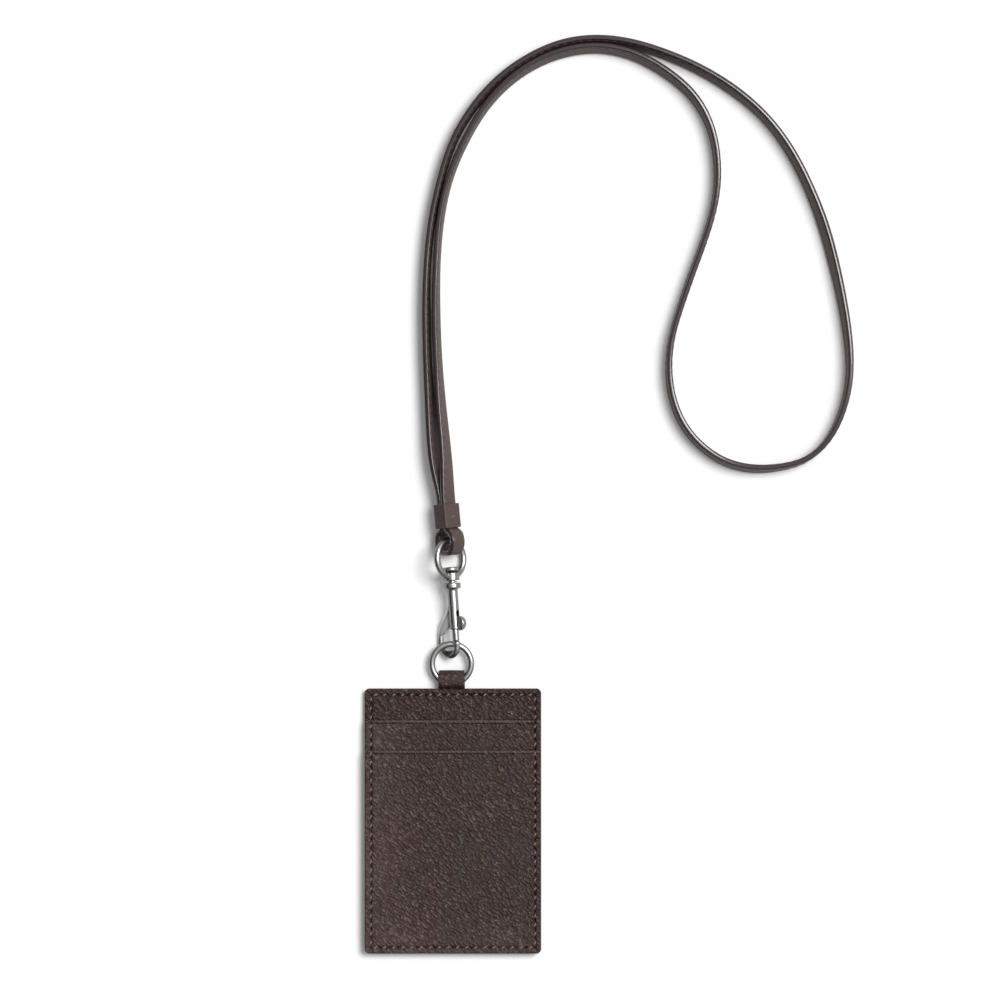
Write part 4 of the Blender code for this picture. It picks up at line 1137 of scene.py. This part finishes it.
class CARDHOLDER_OT_end_loop(bpy.types.Operator):
    """The folded end of the strap, the keeper round it and the keeper's bar tack"""
    bl_idname = "card_holder.end_loop"
    bl_label = "End loop and keeper"

    def execute(self, context):
        sizes = context.scene.card_holder_strap
        self.make_loop(sizes)
        self.make_keeper()
        self.make_tack()
        return {"FINISHED"}

    def make_loop(self, sizes):
        """The strap's section carried round a drop shaped loop in the keeper's XY plane."""
        back = [(-m, k) for m, k in reversed(LOOP_HALF)]
        rows = np.array(LOOP_HALF + [(0.0, LOOP_BOTTOM)] + back)
        flat, places = cubic_through(rows, sizes.pitch / RINGS_PER_STITCH)
        local = np.column_stack([flat, np.zeros(len(flat))])
        heading = unit_rows(np.gradient(local, axis=0))
        turn = np.array(KEEPER_FRAME.to_3x3())
        normal = np.cross(heading, UP) @ turn.T
        width_axis = np.broadcast_to(turn[:, 2], normal.shape)
        line = placed(local, KEEPER_FRAME)
        loop = make_piece("strap_end_leather", *strap_surface(line, width_axis, normal, places, sizes))
        finish_piece(loop, material_for("taupe_strap_leather"), "strap_leather", "lanyard",
                     "strap_end_loop")
        stitches = make_piece("strap_end_stitches",
                              *strap_stitches(line, heading @ turn.T, width_axis, normal, places, sizes))
        finish_piece(stitches, material_for("brown_thread"), "thread", "lanyard")

    def make_keeper(self):
        """A leather band: a rounded strip section carried round a rounded rectangle.

        The rectangle's corners are quarter circles of 0.4 mm, its section is a superellipse, and
        the band is pinched a little at its middle.
        """
        half_wide, half_deep, half_long = KEEPER_HALF
        quarter = np.linspace(0, np.pi / 2, 9)
        ring = []
        for turn_by, (side, level) in enumerate([(1, 1), (-1, 1), (-1, -1), (1, -1)]):
            angle = quarter + turn_by * np.pi / 2
            ring.append(np.column_stack([
                side * (half_wide - KEEPER_CORNER) + KEEPER_CORNER * np.cos(angle),
                level * (half_deep - KEEPER_CORNER) + KEEPER_CORNER * np.sin(angle)]))
        closed = np.vstack(ring + [ring[0][:1]])
        reach = reach_along(closed)
        ring = rows_at(np.linspace(0, reach[-1], KEEPER_STEPS + 1)[:-1], reach, closed)
        slope = unit_rows(np.roll(ring, -1, axis=0) - np.roll(ring, 1, axis=0))
        out = np.stack([slope[:, 1], -slope[:, 0]], axis=-1)
        turn = full_turn(40)
        along = softened(np.cos(turn), 0.12) * half_long
        depth = softened(np.sin(turn), 0.5) * KEEPER_HALF_WALL
        pinch = -KEEPER_PINCH * np.cos(np.pi * along / half_long / 2) ** 2
        ring_points = ring[:, None, :] + out[:, None, :] * (depth + pinch)[None, :, None]
        shape = (len(ring), len(turn))
        local = np.stack([ring_points[..., 1], np.broadcast_to(along, shape), ring_points[..., 0]], axis=-1)
        values = {"across": np.broadcast_to(along / half_long * KEEPER_FACE, shape)}
        faces = grid_faces(*shape, True, True).tolist()
        keeper = make_piece("keeper_leather", placed(local, KEEPER_FRAME), faces, values)
        finish_piece(keeper, material_for("taupe_strap_leather"), "strap_leather", "lanyard", "keeper")

    def make_tack(self):
        """A few short slanting stitches on the keeper's face."""
        turn = np.array(KEEPER_FRAME.to_3x3())
        local = np.full((TACK_COUNT, 3), (TACK_LEVEL, TACK_SHIFT, 0.0))
        local[:, 2] = (np.arange(TACK_COUNT) - (TACK_COUNT - 1) / 2) * TACK_PITCH
        slant = math.radians(TACK_SLANT)
        along = turn @ np.array([0.0, math.sin(slant), math.cos(slant)])
        across = turn @ np.array([0.0, math.cos(slant), -math.sin(slant)])
        axes = [np.tile(axis, (TACK_COUNT, 1)) for axis in (along, across, turn[:, 0])]
        points, faces = capsule_group(placed(local, KEEPER_FRAME), *axes, *TACK_THREAD, 8, 8)
        tack = make_piece("keeper_tack_thread", points, faces)
        finish_piece(tack, material_for("tan_thread"), "thread", "lanyard", "keeper_bar_tack")


# Card holder

def holder_lines(low, high, coarse, bands):
    """Grid lines from low to high, at each band's own step inside it and coarse elsewhere."""
    lines = [low]
    while lines[-1] < high:
        at = lines[-1]
        steps = [step for start, end, step in bands if start - coarse <= at <= end]
        lines.append(at + min(steps, default=coarse))
    lines = np.array(lines)
    return low + (lines - low) * (high - low) / (lines[-1] - low)


def rounded_grid(x, y, half_width, low, high, corner):
    """A rectangle's grid whose corner squares are mapped onto quarter discs.

    In a corner square, (a, b) goes to (a sqrt(1 - b^2 / 2), b sqrt(1 - a^2 / 2)).
    """
    x, y = np.meshgrid(x, y, indexing="ij")
    middle = (low + high) / 2
    half_height = (high - low) / 2
    a = np.clip((np.abs(x) - (half_width - corner)) / corner, 0, 1)
    b = np.clip((np.abs(y - middle) - (half_height - corner)) / corner, 0, 1)
    in_corner = (a > 0) & (b > 0)
    new_a = np.where(in_corner, a * np.sqrt(1 - b ** 2 / 2), a)
    new_b = np.where(in_corner, b * np.sqrt(1 - a ** 2 / 2), b)
    x = np.where(a > 0, np.sign(x) * (half_width - corner + new_a * corner), x)
    y = np.where(b > 0, middle + np.sign(y - middle) * (half_height - corner + new_b * corner), y)
    return x, y


def edge_distance(x, y, half_width, low, high, corner):
    """Distance in from the edge of a rounded rectangle."""
    middle = (low + high) / 2
    a = np.abs(x) - (half_width - corner)
    b = np.abs(y - middle) - ((high - low) / 2 - corner)
    outside = np.hypot(np.maximum(a, 0), np.maximum(b, 0))
    inside = np.minimum(np.maximum(a, b), 0)
    return corner - outside - inside


def seam_phase(x, y, sizes):
    """Stitches counted along the nearest side of the seam, and the distance in from that edge."""
    side = sizes.half_width - sizes.seam_inset
    low = HOLDER_BOTTOM_Y + sizes.seam_inset
    high = HOLDER_TOP_Y - sizes.seam_inset
    from_side = sizes.half_width - np.abs(x)
    from_end = np.minimum(HOLDER_TOP_Y - y, y - HOLDER_BOTTOM_Y)
    along_side = (y - low) / (high - low) * SIDE_STITCHES
    along_end = (x + side) / (2 * side) * END_STITCHES
    pitch_side = (high - low) / SIDE_STITCHES
    pitch_end = 2 * side / END_STITCHES
    by_side = from_side < from_end
    phase = np.where(by_side, along_side, along_end)
    pitch = np.where(by_side, pitch_side, pitch_end)
    return phase, pitch, np.minimum(from_side, from_end)


def sewn_relief(x, y, sizes):
    """Height of the leather round the seam, seen from outside.

    With d the distance in from the edge, each part is height exp(-((d - place) / spread)^2): a
    groove along the seam, a round pit at each whole phase, and gathers that rise by
    sin^2(pi phase) on the seam's outer side and half as high on its inner side.
    """
    phase, pitch, inward = seam_phase(x, y, sizes)
    from_seam = inward - sizes.seam_inset
    groove = -sizes.groove * np.exp(-(from_seam / GROOVE_SPREAD) ** 2)
    along = np.abs(phase - np.round(phase)) * pitch
    hole = -HOLE_DEPTH * np.exp(-(along ** 2 + from_seam ** 2) / HOLE_SPREAD ** 2)
    gather = sizes.pucker * np.sin(np.pi * phase) ** 2
    outer = gather * np.exp(-((inward - OUTER_GATHERS) / GATHER_SPREAD) ** 2)
    inner = 0.5 * gather * np.exp(-((inward - INNER_GATHERS) / GATHER_SPREAD) ** 2)
    return groove + hole + outer + inner


def turned_edge(distance):
    """Relief of a pocket's turned top edge: a rolled band, then a crease and a faint ridge.

    Each is height exp(-((d - place) / spread)^power), with d the distance from the edge.
    """
    relief = [height * np.exp(-((distance / MM - place) / spread) ** power)
              for height, place, spread, power in (ROLLED_BAND, CREASE, RIDGE)]
    return sum(relief) * MM


def panel_grid(top_y, seen_from, sizes):
    """Grid of a panel: fine in the sewn margin, finer at the top edge, coarse where it is covered."""
    low = HOLDER_BOTTOM_Y
    half = sizes.half_width
    margin, fine = SEWN_MARGIN
    top_margin, finer = TOP_MARGIN
    bands = [(low, low + margin, fine), (top_y - top_margin, top_y, finer), (seen_from, top_y, SEEN_STEP)]
    y_lines = holder_lines(low, top_y, COARSE_STEP[1], bands)
    bands = [(-half, -half + margin, fine), (half - margin, half, fine)]
    x_lines = holder_lines(-half, half, COARSE_STEP[0], bands)
    return rounded_grid(x_lines, y_lines, half, low, top_y, sizes.corner)


def closed_slab(x, y, upper, lower, middle):
    """Points and faces of two sheets over one grid, joined at their border at the middle height.

    Also gives which points of the two sheets are kept, as the border's points are shared.
    """
    count = x.size
    border = np.zeros(x.shape, bool)
    border[[0, -1], :] = True
    border[:, [0, -1]] = True
    border = border.ravel()
    top = np.stack([x, y, upper], axis=-1).reshape(-1, 3)
    top[border, 2] = middle
    bottom = np.stack([x, y, lower], axis=-1).reshape(-1, 3)
    target = np.arange(2 * count)
    target[count:][border] = np.arange(count)[border]
    keep = np.unique(target)
    renumber = np.full(2 * count, -1)
    renumber[keep] = np.arange(len(keep))
    faces = np.vstack([grid_faces(*x.shape), grid_faces(*x.shape, start=count)[:, ::-1]])
    return np.vstack([top, bottom])[keep], renumber[target[faces]].tolist(), keep


def leather_panel(name, top_y, seen_from, sizes, face_down=False):
    """One leather layer: a rounded slab whose outer face carries the seam's relief.

    The face is z = top - edge rounding + relief, where the rounding is r - sqrt(r^2 - (r - d)^2)
    within r of the edge; the two faces meet at half thickness. A slow wander sin(x) sin(y) keeps
    the face from being quite flat.
    """
    z_low, z_high = LAYER_Z[name]
    x, y = panel_grid(top_y, seen_from, sizes)
    inward = np.maximum(edge_distance(x, y, sizes.half_width, HOLDER_BOTTOM_Y, top_y, sizes.corner), 0)
    radius = (z_high - z_low) * 0.5
    short = np.clip(radius - inward, 0, radius)
    rounding = radius - np.sqrt(np.maximum(radius ** 2 - short ** 2, 0))
    relief = sewn_relief(x, y, sizes)
    if top_y < HOLDER_TOP_Y:
        end = np.clip((top_y - y) / RELIEF_END, 0, 1)
        relief = relief * end + turned_edge(top_y - y)
    wander = WANDER * np.sin(x * 210 + 1.3) * np.sin(y * 160 + 0.4)
    outer = (relief + wander) * np.clip(inward / radius, 0, 1) - rounding
    upper = z_high - rounding if face_down else z_high + outer
    lower = z_low - np.minimum(outer, 0) if face_down else z_low + rounding
    points, faces, keep = closed_slab(x, y, upper, lower, (z_low + z_high) / 2)
    values = {key: np.tile(value.ravel(), 2)[keep]
              for key, value in panel_values(x, y, top_y, sizes).items()}
    return make_piece(name + "_leather", points, faces, values)


def panel_values(x, y, top_y, sizes):
    """What the leather's material reads: place along and across the seam, and from the top edge.

    The grain is weaker near the left and bottom edges of the pockets, where the leather is smoother, and
    the painted sheen and band highlight fade there too, as painted shade.
    """
    phase, _, _ = seam_phase(x, y, sizes)
    from_side = sizes.half_width - np.abs(x)
    from_end = np.minimum(HOLDER_TOP_Y - y, y - HOLDER_BOTTOM_Y)
    middle = (HOLDER_TOP_Y + HOLDER_BOTTOM_Y) / 2
    past_side = np.sign(x) * (sizes.seam_inset - from_side)
    past_end = np.sign(y - middle) * (sizes.seam_inset - from_end)
    is_pocket = top_y < HOLDER_TOP_Y
    # These fades also weaken the painted sheen and the band's painted highlight: painted shade towards the
    # left and bottom.
    grain_and_sheen_left = np.clip((x + sizes.half_width) / GRAIN_AND_SHEEN_FADE_LEFT, 0, 1)
    grain_and_sheen_low = np.clip((y - HOLDER_BOTTOM_Y) / GRAIN_AND_SHEEN_FADE_LOW, 0, 1)
    return {
        "stitch": phase,
        "across_seam": np.where(from_side < from_end, past_side, past_end) / MM,
        "from_top": (top_y - y) / MM if is_pocket else np.full_like(y, NO_EDGE_MM),
        "grain": 0.3 + 0.7 * grain_and_sheen_left * grain_and_sheen_low if is_pocket else np.full_like(y, 1.2),
    }


class CARDHOLDER_OT_holder(bpy.types.Operator):
    """The leather layers of the holder"""
    bl_idname = "card_holder.holder"
    bl_label = "Holder leather"

    def execute(self, context):
        sizes = context.scene.card_holder_sizes
        leather = material_for("dark_pebbled_leather")
        panels = [
            ("back_panel", HOLDER_TOP_Y, HOLDER_BOTTOM_Y, True),
            ("front_base_panel", HOLDER_TOP_Y, REAR_TOP_Y - SEEN_BELOW_EDGE, False),
            ("rear_pocket_panel", REAR_TOP_Y, FRONT_TOP_Y - SEEN_BELOW_EDGE, False),
            ("front_pocket_panel", FRONT_TOP_Y, HOLDER_BOTTOM_Y, False),
        ]
        for name, top_y, seen_from, face_down in panels:
            piece = leather_panel(name, top_y, seen_from, sizes, face_down)
            finish_piece(piece, leather, "holder_leather", "card_holder", name)
        dress_node("stiffener_board", material_for("stiff_board"))
        return {"FINISHED"}


class CARDHOLDER_OT_seams(bpy.types.Operator):
    """The slanting stitches round the holder, front and back"""
    bl_idname = "card_holder.seams"
    bl_label = "Edge seams"

    def execute(self, context):
        sizes = context.scene.card_holder_sizes
        x, y, degrees = self.places(sizes)
        level = np.full(len(y), LAYER_Z["front_base_panel"][1])
        level[y < REAR_TOP_Y + THREAD_CLEARS_EDGE] = LAYER_Z["rear_pocket_panel"][1]
        level[y < FRONT_TOP_Y + THREAD_CLEARS_EDGE] = LAYER_Z["front_pocket_panel"][1]
        front = self.stitches("front_seam_thread", x, y, level - FRONT_THREAD_SUNK, degrees, 1.0)
        finish_piece(front, material_for("tan_thread"), "thread", "card_holder", "front_edge_stitching")
        level = np.full(len(y), BACK_THREAD_LEVEL)
        back = self.stitches("back_seam_thread", x, y, level, -degrees, -1.0)
        finish_piece(back, material_for("tan_thread"), "thread", "card_holder", "back_edge_stitching")
        return {"FINISHED"}

    def places(self, sizes):
        """Middles and directions of the stitches, half a pitch from the needle holes."""
        side = sizes.half_width - sizes.seam_inset
        low = HOLDER_BOTTOM_Y + sizes.seam_inset
        high = HOLDER_TOP_Y - sizes.seam_inset
        across = (np.arange(END_STITCHES) + 0.5) / END_STITCHES * 2 * side - side
        along = (np.arange(SIDE_STITCHES) + 0.5) / SIDE_STITCHES * (high - low) + low
        x = np.concatenate([across, across, np.full(SIDE_STITCHES, -side), np.full(SIDE_STITCHES, side)])
        y = np.concatenate([np.full(END_STITCHES, low), np.full(END_STITCHES, high), along, along])
        degrees = np.repeat([END_SLANT, SIDE_SLANT], [2 * END_STITCHES, 2 * SIDE_STITCHES])
        return x, y, degrees

    def stitches(self, name, x, y, z, degrees, up):
        """One mesh of all the stitches of a seam."""
        angle = np.radians(degrees)
        zero = np.zeros(len(x))
        along = np.column_stack([np.cos(angle), np.sin(angle), zero])
        across = np.column_stack([-np.sin(angle), np.cos(angle), zero])
        ups = np.column_stack([zero, zero, zero + up])
        points, faces = capsule_group(np.column_stack([x, y, z]), along, across, ups, *EDGE_THREAD, 9, 8)
        return make_piece(name, points, faces)


class CARDHOLDER_OT_tab(bpy.types.Operator):
    """The leather tab that holds the ring"""
    bl_idname = "card_holder.tab"
    bl_label = "Ring tab"

    def execute(self, context):
        tab = self.make_tab()
        tab.data.materials.append(material_for("dark_pebbled_leather"))
        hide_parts("ring_tab")
        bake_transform(tab)
        return {"FINISHED"}

    def make_tab(self):
        """A strip whose section is a superellipse with a low crown, thinner inside the seam.

        Pressed and narrowed both grow from nothing at a Y to their full amount a length past it,
        towards the seam and towards the ring.
        """
        flat, _ = cubic_through(TAB_LINE, TAB_STEP)
        heading = unit_rows(np.gradient(flat, axis=0))
        out = np.stack([-heading[:, 1], heading[:, 0]], axis=-1)
        pressed = np.clip((TAB_PRESSED_PAST[0] - flat[:, 0]) / TAB_PRESSED_PAST[1], 0, 1)
        wall = TAB_HALF_WALL - TAB_PRESSED * pressed ** 0.5
        narrowed = np.clip((flat[:, 0] - TAB_NARROWS_PAST[0]) / TAB_NARROWS_PAST[1], 0, 1)
        half_width = TAB_HALF_WIDTH - TAB_NARROWER * narrowed
        turn = full_turn(48)
        across = softened(np.cos(turn), 0.1)
        depth = softened(np.sin(turn), 0.5)
        x = RING_CENTRE[0] + across[None, :] * half_width[:, None]
        crown = 1 + TAB_CROWN * (1 - across ** 2)
        yz = flat[:, None, :] + out[:, None, :] * (depth * crown)[None, :, None] * wall[:, None, None]
        points = np.stack([x, yz[..., 0], yz[..., 1]], axis=-1)
        plain = {"stitch": 0.5, "across_seam": NO_EDGE_MM, "from_top": NO_EDGE_MM, "grain": 0.55}
        values = {key: np.full(x.shape, value) for key, value in plain.items()}
        return make_piece("ring_tab_leather", points, tube_faces(*x.shape), values)


class CARDHOLDER_OT_ring_and_hook(bpy.types.Operator):
    """The ring in the tab and the cast snap hook with its bolt, thumb stud and spring"""
    bl_idname = "card_holder.ring_and_hook"
    bl_label = "Ring and snap hook"

    def execute(self, context):
        sizes = context.scene.card_holder_hook
        metal = material_for("nickel_plate")
        place = Matrix.Translation(Vector(RING_CENTRE)) @ Matrix.Rotation(math.radians(RING_TILT), 4, "X")
        points, faces = torus_points(sizes.ring_radius, sizes.ring_wire, 128, 32, place)
        ring = make_piece("tab_ring_wire", points, faces)
        finish_piece(ring, metal, "plated_metal", "ring", "tab_ring")
        self.make_hook(metal)
        self.make_bolt(metal)
        self.make_stud(metal)
        self.make_spring()
        return {"FINISHED"}

    def make_hook(self, metal):
        """Barrel and collar turned, arm swept, web a curved plate, all cast into one skin."""
        cup_frame = BARREL_FRAME @ Matrix.Translation((TIP[0], 0, 0))
        arm, _ = cubic_through(ARM_ROUTE, ROUTE_STEP)
        path = np.column_stack([arm, np.zeros(len(arm))])
        shapes = [revolve(rounded_profile(BARREL_PROFILE, 0.55) * MM, BARREL_FRAME, 64),
                  sweep_round(path, ARM_RADIUS, HOOK_FRAME, 32),
                  revolve(rounded_profile(CUP_PROFILE, 0.25) * MM, cup_frame, 48),
                  self.plate(WEB_OUTER, WEB_INNER), self.plate(CLAW_OUTER, CLAW_INNER)]
        cuts = [revolve(np.array(BARREL_BORE) * MM, BARREL_FRAME, 48),
                revolve(np.array(CUP_BORE) * MM, cup_frame, 40), self.slot_shape()]
        hook = fuse("hook_casting", shapes, cuts)
        self.roughen_plates(hook)
        finish_piece(hook, metal, "plated_metal", "snap_hook", "hook_body")

    def roughen_plates(self, hook):
        """Store where the casting keeps its rough skin, whose paler colour is painted light: on the web,
        left of the barrel.

        It grows over the first millimetre past its start, left of the barrel's axis, and fades
        out below the web, before the claw.
        """
        points = np.empty(len(hook.data.vertices) * 3)
        hook.data.vertices.foreach_get("co", points)
        across, along, _ = placed(points.reshape(-1, 3), HOOK_FRAME.inverted()).T / MM
        skin = np.clip(-across - SKIN_STARTS_MM, 0, 1)
        skin *= np.clip((along + SKIN_ENDS_MM) / SKIN_FADES_MM, 0, 1)
        layer = hook.data.attributes.new("cast_skin", "FLOAT", "POINT")
        layer.data.foreach_set("value", skin.astype(np.float32))

    def plate(self, outer, inner):
        """A plate between two lines: each row runs from the inner line to the outer one, and its
        section is a superellipse 2 mm thick."""
        share = np.linspace(0, 1, PLATE_ROWS)
        sides = []
        for route in (inner, outer):
            line, _ = cubic_through(route, ROUTE_STEP)
            sides.append(rows_at(share, np.linspace(0, 1, len(line)), line)[:, None, :])
        turn = full_turn(PLATE_POINTS)
        mix = (0.5 + 0.5 * softened(np.cos(turn), 0.35))[None, :, None]
        flat = sides[0] * (1 - mix) + sides[1] * mix
        lift = softened(np.sin(turn), 0.35) * PLATE_HALF_THICKNESS
        level = np.broadcast_to(lift[None, :, None], (PLATE_ROWS, PLATE_POINTS, 1))
        points = np.concatenate([flat, level], axis=-1)
        return placed(points.reshape(-1, 3), HOOK_FRAME), tube_faces(PLATE_ROWS, PLATE_POINTS)

    def slot_shape(self):
        """The slot in the barrel: two half circles joined by straight sides, carried out along U."""
        angle = full_turn(48)
        layers = np.array(SLOT_LAYERS)[:, None]
        centre = np.where(np.sin(angle) > 0, SLOT_ENDS[1], SLOT_ENDS[0])
        along = np.broadcast_to(centre + SLOT_RADIUS * np.sin(angle), (2, 48))
        across = np.broadcast_to(SLOT_RADIUS * np.cos(angle), (2, 48))
        points = np.stack([np.broadcast_to(layers, (2, 48)), along, across], axis=-1)
        return placed(points.reshape(-1, 3), HOOK_FRAME), tube_faces(2, 48)

    def make_bolt(self, metal):
        """The rod that closes the hook."""
        points, faces = revolve(rounded_profile(BOLT_PROFILE, 0.25) * MM, BARREL_FRAME, 48)
        bolt = make_piece("bolt_rod", points, faces)
        finish_piece(bolt, metal, "plated_metal", "bolt_group", "bolt")

    def make_stud(self, metal):
        """The thumb piece: a half disc on a neck."""
        place = HOOK_FRAME @ Matrix.Translation((0, STUD_PLACE, 0))
        angle = np.linspace(-np.pi / 2, np.pi / 2, 33)
        half_disc = np.column_stack([STUD_FOOT + STUD_RADIUS * np.cos(angle), STUD_RADIUS * np.sin(angle)])
        centre = (STUD_FOOT + STUD_RADIUS * STUD_MIDDLE, 0.0)
        head = rounded_slab(half_disc, centre, STUD_HALF_THICKNESS, STUD_ROUNDING, place, 15)
        neck = rounded_profile(STUD_NECK_PROFILE, 0.1) * MM
        neck_place = place @ QUARTER_TURN_Y
        stud = fuse("thumb_stud_tab", [head, revolve(neck, neck_place, 32)], [])
        finish_piece(stud, metal, "plated_metal", "bolt_group", "thumb_stud")

    def make_spring(self):
        """A helix of round wire at its resting length; the real spring shortens as the bolt is pulled back.

        Its middle line is (R cos a, R sin a, low + (high - low) t), with a = 2 pi turns t.
        """
        low, high = SPRING_ENDS
        t = np.linspace(0, 1, SPRING_TURNS * 24 + 1)
        angle = 2 * np.pi * SPRING_TURNS * t
        out = np.column_stack([np.cos(angle), np.sin(angle), np.zeros(len(t))])
        centre = SPRING_COIL * out + (low + (high - low) * t)[:, None] * UP
        ring = full_turn(8)[None, :, None]
        points = centre[:, None, :] + SPRING_WIRE * (np.cos(ring) * out[:, None, :] + np.sin(ring) * UP)
        spring = make_piece("bolt_spring_wire", placed(points.reshape(-1, 3), BARREL_FRAME),
                            tube_faces(len(t), 8))
        finish_piece(spring, material_for("bright_spring_wire"), "spring_steel", "snap_hook", "bolt_spring")
        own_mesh(spring)


class CARDHOLDER_OT_swivel(bpy.types.Operator):
    """The swivel eye with its boss, the rivet and the washer"""
    bl_idname = "card_holder.swivel"
    bl_label = "Swivel"

    def execute(self, context):
        metal = material_for("nickel_plate")
        self.make_eye(context.scene.card_holder_hook, metal)
        self.make_rivet(metal)
        dress_node("swivel_washer", metal)
        return {"FINISHED"}

    def make_eye(self, sizes, metal):
        """A ring of round wire cast onto a bored boss."""
        place = EYE_FRAME @ Matrix.Translation((0, EYE_PLACE, 0)) @ QUARTER_TURN_Y
        shapes = [torus_points(sizes.eye_radius, sizes.eye_wire, 120, 32, place),
                  revolve(rounded_profile(BOSS_PROFILE, 0.35) * MM, BARREL_FRAME, 56)]
        bore = revolve(np.array(BOSS_BORE) * MM, BARREL_FRAME, 40)
        eye = fuse("swivel_eye_casting", shapes, [bore])
        finish_piece(eye, metal, "plated_metal", "eye", "swivel_eye")

    def make_rivet(self, metal):
        """The rivet whose head shows inside the eye."""
        points, faces = revolve(rounded_profile(RIVET_PROFILE, 0.3) * MM, BARREL_FRAME, 56)
        head = make_piece("swivel_rivet_head", points, faces)
        finish_piece(head, metal, "plated_metal", "snap_hook", "swivel_rivet")


class CARDHOLDER_PT_pieces(bpy.types.Panel):
    """Buttons for every piece of the card holder"""
    bl_idname = "CARDHOLDER_PT_pieces"
    bl_label = "Card holder"
    bl_space_type = "VIEW_3D"
    bl_region_type = "UI"
    bl_category = "Card holder"

    def draw(self, context):
        for kind in OPERATORS:
            self.layout.operator(kind.bl_idname)
        for group in GROUPS:
            settings = getattr(context.scene, group)
            for key in settings.__annotations__:
                self.layout.prop(settings, key)


OPERATORS = [
    CARDHOLDER_OT_stage, CARDHOLDER_OT_neck_strap, CARDHOLDER_OT_end_loop, CARDHOLDER_OT_holder,
    CARDHOLDER_OT_seams, CARDHOLDER_OT_tab, CARDHOLDER_OT_ring_and_hook, CARDHOLDER_OT_swivel,
]
GROUPS = {
    "card_holder_strap": StrapSizes, "card_holder_sizes": HolderSizes, "card_holder_hook": HookSizes,
    "card_holder_looks": Looks, "card_holder_stage": StageSizes,
}


def register():
    """Register the settings, the operators and the panel."""
    for name, kind in GROUPS.items():
        bpy.utils.register_class(kind)
        setattr(bpy.types.Scene, name, bpy.props.PointerProperty(type=kind))
    for kind in OPERATORS + [CARDHOLDER_PT_pieces]:
        bpy.utils.register_class(kind)


def unregister():
    """Take them away again."""
    for kind in reversed(OPERATORS + [CARDHOLDER_PT_pieces]):
        bpy.utils.unregister_class(kind)
    for name, kind in GROUPS.items():
        delattr(bpy.types.Scene, name)
        bpy.utils.unregister_class(kind)


def main():
    """Build everything in order."""
    register()
    bpy.ops.card_holder.stage()
    bpy.ops.card_holder.neck_strap()
    bpy.ops.card_holder.end_loop()
    bpy.ops.card_holder.holder()
    bpy.ops.card_holder.seams()
    bpy.ops.card_holder.tab()
    bpy.ops.card_holder.ring_and_hook()
    bpy.ops.card_holder.swivel()


if __name__ == "__main__":
    main()
